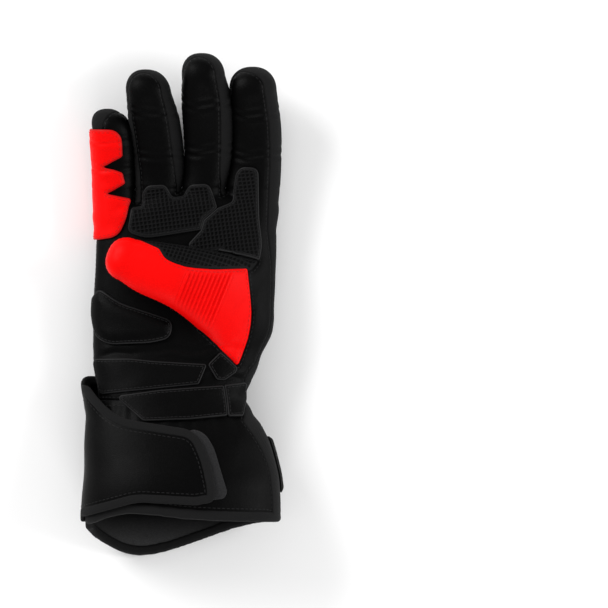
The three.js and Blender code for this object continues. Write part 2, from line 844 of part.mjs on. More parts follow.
const PIECES = [
  ["palm_panel", BLACK_LEATHER, () => handPart.intersect(front).subtract(redRegion(GAP))],
  ["back_panel", BLACK_LEATHER, () => handPart.intersect(back)],
  ["index_gusset", GREY_CLOTH, () => wall.intersect(indexWall(0))],
  ["middle_gusset", GREY_CLOTH, () => betweenFingers("middle")],
  ["ring_gusset", GREY_CLOTH, () => betweenFingers("ring")],
  ["little_gusset", GREY_CLOTH, () => wall.intersect(littleWall(0))],
  ["palm_grip_patch", GRIP, () => overlay(PALM_GRIP, PATCH)],
  ["index_grip_patch", GRIP, () => overlay(INDEX_GRIP, PATCH)],
  ["little_finger_guard", RED_LEATHER, () => layer(ON_TOP, GUARD).intersect(guardRegion)],
  ["palm_heel_pad", BLACK_LEATHER, heelPad],
  [
    "thumb_back",
    RED_LEATHER,
    () => thumbSolid(0, true).add(hand(0)).subtract(inside).intersect(redRegion(0)),
  ],
  [
    "thumb_grip_strip",
    GRIP,
    () => thumbShell.intersect(besideThumbAxis(true, SEAM)).subtract(redRegion(GAP)),
  ],
  ["thumb_underside", BLACK_LEATHER, () => thumbShell.intersect(besideThumbAxis(false, -SEAM))],
  ["wrist_panel", BLACK_LEATHER, () => overlay(WRIST_OUTLINE, THIN_PANEL)],
  ["thumb_tab", BLACK_LEATHER, () => overlay(TAB_OUTLINE, THIN_PANEL)],
  ["wrist_strap", BLACK_LEATHER, () => overlay(STRAP_OUTLINE, STRAP)],
  ["strap_anchor", BLACK_LEATHER, () => overlay(ANCHOR_OUTLINE, STRAP)],
  [
    "cuff_front_panel",
    BLACK_LEATHER,
    () => cuffPart.intersect(front).subtract(outline(SIDE_TAPE, GAP)),
  ],
  ["cuff_back_panel", BLACK_LEATHER, () => cuffPart.intersect(back)],
  [
    "side_binding",
    GREY_CLOTH,
    () =>
      cuffTape
        .intersect(outline(SIDE_TAPE, 0, SEAM, FAR))
        .intersect(aboveHem(HEM_WIDTH + GAP)),
  ],
  [
    "hem_binding",
    GREY_CLOTH,
    () => cuffTape.intersect(aboveHem(0)).subtract(aboveHem(HEM_WIDTH)),
  ],
  [
    "cuff_lining",
    LINING_CLOTH,
    () =>
      layer(-LEATHER - GAP - LINING, -LEATHER - GAP)
        .intersect(everything(-FAR, LINING_END))
        .intersect(aboveHem(LINING_BACK)),
  ],
  ["closure_strip", HOOK, () => overlay(CLOSURE_OUTLINE, CLOSURE)],
  [
    "cuff_flap",
    BLACK_LEATHER,
    () =>
      flapHigh
        .subtract(flapSolid(-FLAP_LEATHER))
        .intersect(flapRegion(FLAP_TAPE_WIDTH + GAP, FLAP_HANG)),
  ],
  [
    "flap_binding",
    GREY_CLOTH,
    () =>
      flapSolid(FLAP_TAPE_PROUD)
        .subtract(flapSolid(-FLAP_TAPE))
        .intersect(flapRegion(0, FLAP_HANG))
        .subtract(flapRegion(FLAP_TAPE_WIDTH, FLAP_HANG + 1)),
  ],
  [
    "cuff_back_pad",
    BLACK_LEATHER,
    () =>
      layer(ON_TOP, BACK_PAD).intersect(
        outline(BACK_PAD_OUTLINE, 0, -BACK_PAD_REACH, -SEAM),
      ),
  ],
];

// Lifts a point onto the middle surface. Along the fingers it leans with their curl.
function lifted(x, y, height) {
  const reach = 1;
  const rise = middleHeight(y + reach) - middleHeight(y - reach);
  const lean = y > CURL_START ? Math.atan2(rise, 2 * reach) : 0;
  return [x, y - height * Math.sin(lean), middleHeight(y) + height * Math.cos(lean)];
}

function geometryOf(piece) {
  const mesh = piece.getMesh();
  const positions = new Float32Array(mesh.numVert * 3);
  for (let i = 0; i < mesh.numVert; i += 1) {
    const at = i * mesh.numProp;
    const point = mesh.vertProperties.slice(at, at + 3);
    positions.set(lifted(...point), i * 3);
  }
  const geometry = new THREE.BufferGeometry();
  geometry.setAttribute("position", new THREE.BufferAttribute(positions, 3));
  geometry.setIndex([...mesh.triVerts]);
  geometry.computeVertexNormals();
  return geometry;
}

const glove = new THREE.Group();
for (const [name, finish, make] of PIECES) {
  const mesh = new THREE.Mesh(geometryOf(largest(make())), new THREE.MeshStandardMaterial(finish));
  mesh.name = name;
  glove.add(mesh);
}

export default glove;
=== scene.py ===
import math

import bpy
import numpy as np
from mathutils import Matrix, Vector, noise


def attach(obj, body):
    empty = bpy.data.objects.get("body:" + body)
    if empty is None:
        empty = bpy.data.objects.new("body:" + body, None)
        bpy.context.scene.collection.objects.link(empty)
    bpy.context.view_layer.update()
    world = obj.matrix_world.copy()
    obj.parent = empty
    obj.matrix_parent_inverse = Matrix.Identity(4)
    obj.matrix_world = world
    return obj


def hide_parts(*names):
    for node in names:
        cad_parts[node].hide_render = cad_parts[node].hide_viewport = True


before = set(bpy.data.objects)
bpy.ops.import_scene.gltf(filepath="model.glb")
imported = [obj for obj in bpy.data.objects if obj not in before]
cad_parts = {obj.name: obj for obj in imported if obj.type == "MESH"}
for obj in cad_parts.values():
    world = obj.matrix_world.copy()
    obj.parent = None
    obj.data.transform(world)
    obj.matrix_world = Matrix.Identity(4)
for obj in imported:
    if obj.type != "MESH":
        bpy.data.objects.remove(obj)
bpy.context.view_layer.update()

MM = 0.001

# Driving sizes that the solids have too
LEATHER = 2.0
GAP = 0.3
ON_TOP = 0.45
PATCH = 1.8
THIN_PANEL = 1.5
GUARD = 2.6
STRAP = 2.5
HEEL_EDGE = 2.4
CLOSURE = 1.5
FLAP_LIFT = 3.8
FLAP_LEATHER = 1.8
FLAP_TAPE_PROUD = 0.4
FLAP_TAPE_WIDTH = 5.0
FLAP_HANG = 24
TAPE_PROUD = 0.8
HEM_WIDTH = 6.0
LINING = 1.2
LINING_END = -94
BACK_PAD = 3.5
BACK_PAD_REACH = 22
WRIST_SEAM = -62
LITTLE_WALL_START = 60
GUARD_WRAP = 7
RIB_PITCH = 2.6
RIB_FADE = 0.86
TIP_ROUND = 0.9
SECTION_POWER = 2.3

# Blender's own sizes
CELL = 1.25  # grid of the surfaces
DOMAIN = ((-68, 72), (-166, 166), (-38, 54))  # of the grid, in x, y and h
SETTLING_ROUNDS = 6
HEEL_CROWN = 4.8
HEEL_SLOPE = 9.0
BACK_PAD_EDGE = 1.6
BACK_PAD_SLOPE = 5.0
FLAP_TAPE_DEPTH = 2.2
FLAP_TURN = 3.0  # the flap's front runs into its back this far over and under the middle
FLAP_SIDES = 380
HEM_DEPTH = 4.3  # the hem tape takes in the leather and the lining
TUCK = 2.0  # how far a sewn edge runs in under its tape
LINING_TUCK = 1.0
STRIP_END = -62  # where the index finger's grey strip ends
TIP_BAND = 0.5  # width of the side wall where it runs out past the fingertip
TIP_RUN_OUT = 9
FRONT_BELOW = 5  # how far a finger's front is drawn on below its first row
FRONT_BEYOND = 8  # and past the side that has no wall
UNDERSIDE_CLIMB = 8  # the thumb's underside climbs the palm over this distance
THUMB_PROUD = 0.15
RIB_FIRST = 18.5
RIB_COUNT = 12
RIB_EDGE = (1.5, 4.0)  # the ribs start and are full this far from the piece's edge
FOLDED_EDGE = 0.9  # how far the rounded edge of a folded or turned piece reaches
CUT_EDGE = 0.55  # the same for a piece with a cut edge
THIN_EDGE = 0.6  # for the side walls and the lining
HEM_EDGE = 1.6
FLAP_TAPE_EDGE = 1.2
SEAM_PRESS = 0.25  # how far an edge presses into the one that it is sewn to
SLOT_PRESS = 1.9  # more of it down between two fingers
SLOT = (1.2, 3.2)  # distance to the next finger where that is full and where it ends
STEEPNESS = (0.06, 1.6)  # least and most that a value may rise over a millimetre
EDGE_STEPS = 5
SEAM_DIP = 0.45  # the leather is pulled down at its seams
SEAM_DIP_REACH = 2.2
STITCH_PITCH = 3.1
STITCH_LENGTH = 2.1
STITCH_RADIUS = 0.27
STITCH_INSET = 1.7
STITCH_SUNK = 0.04
GRIP_STITCH = (1.35, 2.4)  # inset and pitch round the grip patches
STRAP_STITCH = (1.5, 2.6)  # the same round the heel pad, the strap and the wrist's patches
DIMPLE_PITCH = 2.56
DIMPLE_TURN = math.radians(8)
DIMPLE_HALF = 0.9  # half the width of a dimple, which is square with round corners
DIMPLE_WALL = 0.16  # half the width of its sloping wall
DIMPLE_DEPTH = 0.55
DIMPLE_ROUND = 16.0  # radius of the thumb for the grid that is wound round it
GRIP_BORDER = (2.0, 2.4)  # the dimples start and are full this far from the piece's edge
CUT_PAD = 2.5  # a surface is cut this far round the wanted part before its edge is made clean
CRUMB = 60  # a scrap with fewer triangles than this is dropped
ARC_STEP = 8  # degrees
ARC_REACH = 0.48  # most of an outline's side that the arc of one corner may take up
RIB_RISE = 0.6
# Waves: height, length and seed. Those of folds and gathers bend them, the rest move the skin.
SOFT_WAVE = (0.5, 34, 1)
FINE_WAVE = (0.16, 11, 2)
FOLD_WAVE = (2.2, 16, 3)
GATHER_WAVE = (2.5, 24, 5)
CUFF_WAVE = (0.8, 30, 7)
CUFF_WAVE_FROM = (75, 110)  # below the origin, where the cuff's wave starts and is full
# Each fold's share of the way to the fingertip, and its depth
JOINT_FOLDS = ((0.02, 0.45), (0.3, 0.5), (0.36, 0.3), (0.66, 0.45), (0.72, 0.25))
JOINT_FOLDS_FROM = 26  # that way starts this far above the finger's first row
JOINT_FOLD_WIDTH = 1.7
JOINT_FOLD_BACK = 0.35  # share of the depth that the back of the finger has
WRIST_FOLDS = ((-30, 0.05, 0.5), (-36, -0.08, 0.4), (-49, 0.04, 0.5))  # y, slope and depth
WRIST_FOLD_WIDTH = 2.4
WRIST_FOLD_BEND = 1.6
WRIST_FOLD_X = -6  # their middle
WRIST_FOLD_ENDS = (-58, -34)  # minus the distances from it where they end and are full
GATHER_PITCH = 9.5
GATHER_DEPTH = 0.3
GATHER_BELOW = 7  # their middle lies this far from the wrist's seam, towards the cuff
GATHER_REACH = 11
THUMB_CALM = 0.7  # how much less the thumb moves
REST_REACH = 2.5  # the skin starts to flatten this far over the floor
REST_SINK = 0.05  # share of that reach by which it sinks
PHOTO_WIDTH = 389.1  # 608 pixels of 0.64 mm
PHOTO_CENTRE = (78.6, -0.6)

# The room's sizes, in metres and watts
CAMERA_HEIGHT = 0.8
FLOOR_REACH = 6.0
FLOOR_DROP = 0.0002
ROOM_LIGHT = 0.45
LIGHTS = (  # name, place, aim, size and power
    ("key", (-1.1, 0.9, 0.85), (0, 0, 0), (0.9, 0.7), 25),
    ("side", (1.3, 0.1, 0.7), (0, 0, 0), (0.6, 1.0), 14),
    ("low", (0.1, -1.4, 0.6), (0, -0.05, 0.02), (0.9, 0.5), 10),
)


def table(columns, rows):
    return {name: np.array([row[i] for row in rows], float) for i, name in enumerate(columns)}


MIDDLE = table(("y", "height"), (
    (-180, 33.4), (-120, 32.0), (-104, 30.0), (-90, 28.0), (-78, 26.0), (-61, 23.6),
    (-42, 20.8), (-20, 18.5), (0, 17.5), (20, 17.0), (45, 16.2), (60, 16.0), (75, 16.7),
    (95, 19.4), (115, 24.2), (135, 31.0), (170, 46.0),
))
CURL_START = 60

HAND = table(("y", "left", "right", "half", "power"), (
    (-176, -61.4, 63.6, 34.6, 2.2),
    (-142, -60.6, 63.2, 34.2, 2.2),
    (-112, -58.6, 61.6, 32.2, 2.2),
    (-90, -57.6, 56.6, 28.6, 2.2),
    (-78, -56.0, 50.4, 26.2, 2.2),
    (-69, -54.0, 44.5, 24.0, 2.2),
    (-61, -52.8, 40.7, 22.4, 2.3),
    (-51, -54.0, 44.6, 21.2, 2.3),
    (-42, -55.5, 48.6, 20.2, 2.4),
    (-34, -56.6, 51.2, 19.6, 2.4),
    (-18, -56.8, 58.4, 18.9, 2.5),
    (0, -56.2, 59.6, 18.5, 2.5),
    (20, -54.9, 60.4, 18.0, 2.5),
    (38, -54.4, 61.0, 17.5, 2.5),
    (48, -53.0, 61.2, 17.0, 2.5),
    (58, -53.2, 61.6, 16.5, 2.5),
))
# Width of the grey strip down the index side of the hand and the wrist
INDEX_STRIP = table(("y", "side"), (
    (-62, 1.9), (-54, 2.4), (-49, 4.2), (-44, 4.2), (-37, 1.8), (-20, 1.8), (0, 1.4),
    (20, 2.0), (30, 2.9), (45, 4.9),
))
# Width of the ring finger's grey strip on the little finger's side
RING_STRIP = table(("y", "side"), ((65, 3.4), (85, 3.4), (98, 2.6), (117, 2.4), (138, 0.8)))
# The hand is rounded off from here, lower between the ring finger and the little finger.
HAND_CAP = 58
HAND_CAP_REACH = 14.0
CROTCH_DROP = 5.0
CROTCH_DROP_X = (-12, -26)
FINGER_FADE = 0.02  # how soon a finger's form sinks into the hand below there

FINGER_COLUMNS = ("y", "left", "right", "side")
FINGERS = {
    "index": {"tip": (45.6, 149.9), "top": (39.4, 148.6), "half": 13.5, "wall": 1,
              "spread": 6.0, "rows": table(
        FINGER_COLUMNS,
        ((45, 28.6, 60.8, 4.9), (75, 28.0, 63.2, 6.5), (90, 31.0, 63.7, 6.4),
         (112, 31.9, 63.8, 7.0), (136, 30.7, 61.2, 7.4)))},
    "middle": {"tip": (12.9, 158.8), "top": (10.8, 158.2), "half": 14.0, "wall": 1,
               "spread": 2.0, "rows": table(
        FINGER_COLUMNS,
        ((45, 0.0, 27.4, 1.0), (75, 0.2, 29.2, 3.2), (84, 1.3, 31.4, 6.0),
         (102, 1.8, 33.5, 7.7), (128, 0.3, 33.1, 7.8), (145, 0.2, 28.2, 5.6)))},
    "ring": {"tip": (-22.6, 148.6), "top": (-24.4, 148.0), "half": 13.2, "wall": 1,
             "spread": -2.0, "rows": table(
        FINGER_COLUMNS,
        ((45, -29.4, -1.0, 0.8), (74, -30.0, 0.7, 3.0), (84, -30.5, 2.4, 5.9),
         (102, -31.7, 1.1, 7.2), (119, -34.2, -1.6, 6.9), (134, -35.3, -6.2, 5.8)))},
    "little": {"tip": (-47.4, 123.5), "top": (-41.4, 122.6), "half": 12.0, "wall": -1,
               "spread": -6.0, "rows": table(
        FINGER_COLUMNS,
        ((45, -53.0, -29.4, 5.0), (75, -54.5, -28.9, 5.6), (90, -55.2, -29.1, 6.0),
         (102, -56.0, -29.8, 6.2), (111, -56.6, -31.0, 6.0)))},
}
BODY = (*FINGERS, "hand")  # every form but the thumb
SPREAD_FROM = 66  # the fingers are modelled apart and then put side by side
SPREAD_TO = 80
SPREAD_SOFT = 0.8  # how softly the move back changes from one finger to the next

THUMB_ROOT = (44, -8)
THUMB_ANGLE = math.radians(157.6)
THUMB_TIP = 99.6
THUMB = table(("along", "side", "width", "height", "thick"), (
    (0, 0.0, 30.0, 2.0, 14.0),
    (7.7, 1.7, 29.4, 8.0, 15.0),
    (21.2, 5.0, 27.7, 17.5, 15.0),
    (36.8, 6.1, 23.6, 27.5, 14.5),
    (52.1, 5.9, 20.4, 34.4, 13.3),
    (72.7, 3.8, 17.4, 35.0, 13.0),
    (85.9, 3.0, 14.0, 34.6, 12.4),
))
THUMB_ROOT_FROM = 8  # the root is rounded off below this
THUMB_ROOT_CAP = 14
THUMB_BLEND = (9.0, 0.8)  # how softly the thumb runs into the hand, at its root and further out
THUMB_BLEND_ALONG = (14, 44)
FINGER_BLEND = 4.0
ROOT_BLEND = 3.0  # how far the patches climb where the thumb runs into the palm
UNDERSIDE_FROM = 35
UNDERSIDE_SLANT = 0.4
GRIP_CLEAR = 34  # from here along the thumb, the index grip stays off it

# Outlines seen from the palm: x, y and the radius of the corner
THUMB_BACK = (
    (42.7, 22.1, 1), (45.6, -5.8, 60), (43.4, -22.4, 60), (36.3, -40.3, 1), (26.1, -30.1, 60),
    (12.0, -17.0, 60), (-4.0, -9.0, 60), (-26.4, -4.0, 30), (-56.0, 8.0, 30),
    (-64.0, 34.0, 30), (-54.0, 50.0, 20), (-37.0, 44.6, 20), (-25.1, 40.3, 20),
    (-14.2, 35.2, 4), (-10.4, 28.2, 12), (2.4, 22.7, 40), (21.6, 21.4, 60),
)
PALM_GRIP = (
    (-24.2, 70.0, 4), (-21.6, 75.0, 5), (-10.4, 75.6, 4), (-5.9, 66.8, 4), (1.8, 67.4, 4),
    (6.2, 75.6, 5), (17.6, 76.2, 5), (22.7, 61.0, 2), (14.3, 53.8, 3), (12.3, 47.0, 1),
    (-11.7, 43.1, 30), (-23.4, 41.4, 20), (-34.0, 45.8, 5), (-31.6, 60.2, 2), (-24.0, 61.4, 3),
)
INDEX_GRIP = (
    (23.1, 60.4, 2), (33.1, 64.3, 4), (35.6, 82.8, 20), (39.0, 87.0, 5), (49.2, 86.4, 5),
    (49.4, 53.8, 60), (51.4, 35.8, 60), (48.6, 24.2, 8), (28.0, 22.2, 5), (3.7, 36.5, 3),
    (12.8, 46.4, 2), (14.8, 53.1, 3),
)
THUMB_GRIP = (
    (-39.0, 52.0, 1), (16.0, 43.0, 20), (30.6, 31.4, 30), (44.0, 29.2, 30), (50.4, 27.4, 4),
    (45.6, 21.4, 5), (20.0, 12.0, 1), (-30.0, 25.0, 1),
)
GUARD_OUTLINE = (
    (-70.0, 111.9, 1), (-38.8, 110.6, 10), (-38.0, 94.0, 1.5), (-50.1, 87.2, 1),
    (-37.9, 83.2, 1.5), (-36.3, 76.5, 1.5), (-47.8, 69.8, 1), (-33.1, 66.6, 1.5),
    (-34.6, 55.0, 30), (-40.0, 42.6, 30), (-52.0, 40.5, 30), (-70.0, 40.5, 1),
)
HEEL_OUTLINE = (
    (-55.0, 3.0, 6), (-51.2, 9.0, 4), (-39.2, -0.3, 30), (-14.9, -8.3, 30), (-5.6, -11.6, 8),
    (-7.0, -22.4, 9), (-20.0, -25.3, 40), (-45.6, -26.4, 20), (-53.8, -21.4, 12),
    (-55.8, -8.0, 40),
)
WRIST_OUTLINE = (
    (-56.0, -36.0, 3), (-33.6, -35.6, 60), (-18.6, -37.3, 60), (16.2, -39.4, 1.2),
    (11.0, -51.8, 1.5), (-33.6, -56.4, 60), (-51.4, -58.2, 4), (-53.4, -50.0, 30),
)
TAB_OUTLINE = (
    (25.0, -31.4, 1), (35.6, -41.4, 1.5), (34.5, -44.2, 3), (27.8, -49.0, 3),
    (22.8, -48.8, 2), (17.3, -39.4, 2),
)
STRAP_OUTLINE = (
    (-38.4, -59.4, 2), (-13.6, -56.0, 60), (26.7, -52.8, 1), (29.0, -72.2, 1),
    (5.6, -74.6, 60), (-24.0, -75.7, 4), (-39.0, -61.6, 2),
)
ANCHOR_OUTLINE = (
    (27.4, -52.6, 1), (40.4, -50.4, 1), (40.0, -64.0, 2), (38.8, -72.6, 1), (29.9, -72.6, 1),
)
FLAP_FRONT = (
    (-80.0, -53.0, 1), (-60.5, -53.0, 6), (-50.0, -66.0, 60), (-37.9, -74.4, 60),
    (-16.0, -77.6, 60), (4.6, -80.8, 16), (11.2, -85.4, 14), (17.8, -99.8, 60),
    (22.0, -120.0, 20), (20.8, -127.0, 5), (9.0, -129.2, 10), (-28.3, -127.2, 30),
    (-62.2, -136.3, 20), (-80.0, -137.0, 1),
)
FLAP_BACK = (
    (-80.0, -57.0, 1), (-64.2, -57.0, 1), (-64.2, -47.2, 10), (-30.0, -47.2, 1),
    (-30.0, -139.6, 1), (-80.0, -139.6, 1),
)
FLAP_STAND = table(("y", "off"), (
    (-150, 0), (-112, 0), (-90, 0.7), (-78, 1.6), (-72, 2.7), (-66, 4.9), (-61, 6.1),
    (-52, 6.4), (-38, 6.0),
))
FLAP_RANGE = (-150, -38)
CLOSURE_OUTLINE = (
    (5.0, -80.8, 3), (14.6, -83.2, 14), (20.6, -92.5, 30), (24.6, -106.0, 40),
    (29.0, -120.8, 4), (27.4, -124.8, 3), (15.2, -126.7, 3), (5.6, -106.9, 3),
)
SIDE_TAPE = (
    (40.6, -62.6, 1), (80.0, -62.6, 1), (80.0, -150.0, 1), (58.3, -150.0, 1),
    (58.3, -126.1, 60), (56.0, -102.8, 60), (49.1, -88.4, 60), (39.6, -75.4, 4),
)
BACK_PAD_OUTLINE = ((46.0, -86.0, 6), (80.0, -86.0, 1), (80.0, -121.0, 1), (47.0, -121.0, 8))
HEM_FRONT = table(("x", "y"), (
    (-90, -141.5), (-61, -141.2), (-48.8, -137.4), (-34.7, -134.6), (-20, -135.2),
    (5.6, -138.0), (37.6, -139.4), (90, -139.8),
))
HEM_BACK = table(("x", "y"), (
    (-90, -141.4), (-62.5, -143.2), (-56.5, -149.0), (-46.2, -155.4), (-36, -159.7),
    (-25, -161.0), (-9.8, -158.4), (9.4, -152.2), (27.4, -145.8), (37.6, -142.8),
    (54.2, -139.8), (90, -139.8),
))
HEM_TURN = 6.0  # the two hems run into each other over this height at the sides


def smooth(rows, key, at, column):
    """Value of a column between its rows, on a smooth curve through them."""
    keys = rows[key]
    values = rows[column]
    before = np.concatenate((keys[:1], keys[:-1]))
    after = np.concatenate((keys[1:], keys[-1:]))
    lower = np.concatenate((values[:1], values[:-1]))
    upper = np.concatenate((values[1:], values[-1:]))
    slope = (upper - lower) / (after - before)
    at = np.clip(at, keys[0], keys[-1])
    i = np.clip(np.searchsorted(keys, at, side="right") - 1, 0, len(keys) - 2)
    step = keys[i + 1] - keys[i]
    t = (at - keys[i]) / step
    rise = 3 * t * t - 2 * t ** 3
    start = t * (1 - t) ** 2 * step * slope[i]
    end = -t * t * (1 - t) * step * slope[i + 1]
    return values[i] * (1 - rise) + values[i + 1] * rise + start + end


def ramp(at, low, high):
    """0 before low, 1 after high, and a smooth rise between."""
    t = np.clip((at - low) / (high - low), 0, 1)
    return t * t * (3 - 2 * t)


def soft_min(a, b, reach):
    near = np.maximum(reach - np.abs(a - b), 0) / reach
    return np.minimum(a, b) - near * near * reach / 4


def middle_height(y):
    return smooth(MIDDLE, "y", y, "height")


def lifted(points):
    """Points of the flat glove, raised onto the middle surface and leaning with its curl."""
    x, y, h = points.T
    reach = 1.0
    rise = middle_height(y + reach) - middle_height(y - reach)
    lean = np.where(y > CURL_START, np.arctan2(rise, 2 * reach), 0)
    z = np.maximum(middle_height(y) + h * np.cos(lean), 0)
    return np.column_stack((x, y - h * np.sin(lean), z))


# Fields: below zero inside a form, and near its skin about the distance from it

def rounded(x, h, ahead, width, half, cap, power):
    """A tube's section, which is rounded off over the cap's length ahead of its end."""
    reach = (np.abs(x / width) ** power + np.abs(h / half) ** power
             + (ahead / cap) ** power) ** (1 / power)
    centre = np.sqrt(x * x + h * h + ahead * ahead)
    return centre * (1 - 1 / np.maximum(reach, 0.02))


def spread_share(y):
    return ramp(y, SPREAD_FROM, SPREAD_TO)


def hand_field(x, y, h):
    left = smooth(HAND, "y", y, "left")
    right = smooth(HAND, "y", y, "right")
    drop = CROTCH_DROP * ramp(-x, -CROTCH_DROP_X[0], -CROTCH_DROP_X[1])
    ahead = np.maximum(y + drop - HAND_CAP, 0)
    return rounded(
        x - (left + right) / 2, h, ahead, (right - left) / 2, smooth(HAND, "y", y, "half"),
        HAND_CAP_REACH, smooth(HAND, "y", y, "power"))


def finger_field(finger, x, y, h):
    rows = finger["rows"]
    left = smooth(rows, "y", y, "left")
    right = smooth(rows, "y", y, "right")
    base = rows["y"][-1]
    cap = finger["tip"][1] - base
    ahead = np.maximum(y - base, 0)
    lean = (finger["tip"][0] - (rows["left"][-1] + rows["right"][-1]) / 2) / cap
    centre = (left + right) / 2 + lean * ahead + finger["spread"] * spread_share(y)
    buried = FINGER_FADE * np.maximum(HAND_CAP + 2 - y, 0) ** 2
    field = rounded(
        x - centre, h, ahead, (right - left) / 2, finger["half"], cap, SECTION_POWER)
    return field + buried


def thumb_place(x, y):
    """How far along the thumb a point lies, and how far to its side."""
    dx = x - THUMB_ROOT[0]
    dy = y - THUMB_ROOT[1]
    c, s = math.cos(THUMB_ANGLE), math.sin(THUMB_ANGLE)
    return dx * c + dy * s, dx * s - dy * c


def thumb_field(x, y, h):
    along, side = thumb_place(x, y)
    value = {name: smooth(THUMB, "along", along, name) for name in THUMB}
    cap_from = THUMB["along"][-1]
    ahead = np.maximum(np.maximum(along - cap_from, THUMB_ROOT_FROM - along), 0)
    cap = np.where(along > cap_from, THUMB_TIP - cap_from, THUMB_ROOT_CAP)
    return rounded(
        side - value["side"], h - value["height"], ahead, value["width"], value["thick"],
        cap, SECTION_POWER)


def fields(x, y, h):
    """Every form's field, and the field of the whole glove."""
    value = {name: finger_field(finger, x, y, h) for name, finger in FINGERS.items()}
    fingers = least(*value.values())
    value["hand"] = hand_field(x, y, h)
    value["thumb"] = thumb_field(x, y, h)
    body = soft_min(value["hand"], fingers, FINGER_BLEND)
    along, _ = thumb_place(x, y)
    share = ramp(along, *THUMB_BLEND_ALONG)
    blend = THUMB_BLEND[0] * (1 - share) + THUMB_BLEND[1] * share
    value["glove"] = soft_min(body, value["thumb"], blend)
    return value


# Surfaces: triangle meshes in the flat glove's millimetres

class Surface:
    """A mesh with values at its points, such as each form's field."""

    def __init__(self, points, triangles, values=None):
        self.points = points
        self.triangles = triangles
        self.values = values or {}

    home = property(lambda self: self.values.get("home", self.points))  # before it was worn
    x = property(lambda self: self.home[:, 0])
    y = property(lambda self: self.home[:, 1])
    h = property(lambda self: self.home[:, 2])

    def spaced(self, value):
        """A value turned into about the distance along the surface from where it is zero."""
        t = self.triangles
        ab, ac = (self.points[t[:, i]] - self.points[t[:, 0]] for i in (1, 2))
        rise_b, rise_c = (value[t[:, i]] - value[t[:, 0]] for i in (1, 2))
        bb, bc, cc = (ab * ab).sum(1), (ab * ac).sum(1), (ac * ac).sum(1)
        area = np.maximum(bb * cc - bc * bc, 1e-9)
        steep = (cc * rise_b * rise_b - 2 * bc * rise_b * rise_c + bb * rise_c * rise_c) / area
        steep = np.sqrt(np.maximum(steep, 0))
        count = np.maximum(np.bincount(t.ravel(), minlength=len(value)), 1)
        for _ in range(2):
            steep = np.bincount(t.ravel(), np.repeat(steep, 3), len(value)) / count
            at_points = steep
            steep = steep[t].mean(1)
        return value / np.clip(at_points, *STEEPNESS)

    def normals(self):
        a, b, c = (self.points[self.triangles[:, i]] for i in range(3))
        face = np.cross(b - a, c - a)
        total = np.zeros_like(self.points)
        for i in range(3):
            for axis in range(3):
                total[:, axis] += np.bincount(
                    self.triangles[:, i], face[:, axis], len(total))
        return unit(total)

    def edges(self):
        """Each edge once, and for each triangle the numbers of its three edges."""
        ends = np.sort(triangle_sides(self.triangles), axis=1)
        keys = ends[:, 0] * len(self.points) + ends[:, 1]
        unique, number = np.unique(keys, return_inverse=True)
        pairs = np.column_stack((unique // len(self.points), unique % len(self.points)))
        return pairs, number.reshape(3, -1).T

    def refined(self):
        """Every triangle in four. New points follow the curve of the surface."""
        pairs, number = self.edges()
        normal = self.normals()
        a, b = self.points[pairs[:, 0]], self.points[pairs[:, 1]]
        na, nb = normal[pairs[:, 0]], normal[pairs[:, 1]]
        bulge = np.clip(((b - a) * (nb - na)).sum(1) / 8, -0.2, 0.2)
        middle = (a + b) / 2 + unit(na + nb) * bulge[:, None]
        number = number + len(self.points)
        t = self.triangles
        parts = (
            np.column_stack((t[:, 0], number[:, 0], number[:, 2])),
            np.column_stack((number[:, 0], t[:, 1], number[:, 1])),
            np.column_stack((number[:, 2], number[:, 1], t[:, 2])),
            number,
        )
        halfway = np.full(len(pairs), 0.5)
        values = mixed_values(self.values, pairs[:, 0], pairs[:, 1], halfway)
        return Surface(np.concatenate((self.points, middle)), np.concatenate(parts), values)

    def taken(self, keep):
        """The triangles that are kept, with their own points only."""
        triangles = self.triangles[keep]
        used, triangles = np.unique(triangles, return_inverse=True)
        values = {name: v[used] for name, v in self.values.items()}
        return Surface(self.points[used], triangles.reshape(-1, 3), values)


def unit(vectors):
    length = np.linalg.norm(vectors, axis=1, keepdims=True)
    return vectors / np.maximum(length, 1e-9)


def triangle_sides(t):
    return np.concatenate((t[:, [0, 1]], t[:, [1, 2]], t[:, [2, 0]]))


def between(values, a, b, share):
    """Values a share of the way from those at some points to those at others."""
    share = share.reshape((-1,) + (1,) * (values.ndim - 1))
    return values[a] + (values[b] - values[a]) * share


def near_line(surface, value):
    """Moves points that almost lie on the line where the value is zero onto it."""
    snap = 0.3
    pairs, _ = surface.edges()
    a, b = pairs.T
    crossing = np.flatnonzero(value[a] * value[b] < 0)
    a, b = a[crossing], b[crossing]
    t = value[a] / (value[a] - value[b])
    first = t < 0.5
    near = np.where(first, a, b)
    other = np.where(first, b, a)
    share = np.where(first, t, 1 - t)
    close = share < snap
    near, other, share = near[close], other[close], share[close]
    order = np.argsort(-share, kind="stable")
    near, other, share = near[order], other[order], share[order]
    points = moved_on(surface.points, near, other, share)
    values = {name: moved_on(v, near, other, share) for name, v in surface.values.items()}
    value = value.copy()
    value[near] = 0
    return Surface(points, surface.triangles, values), value


def moved_on(values, near, other, share):
    result = values.copy()
    result[near] = between(values, near, other, share)
    return result


def mixed_values(values, inner, outer, share):
    """The values with those at new points, which lie between two old ones."""
    return {name: np.concatenate((v, between(v, inner, outer, share)))
            for name, v in values.items()}


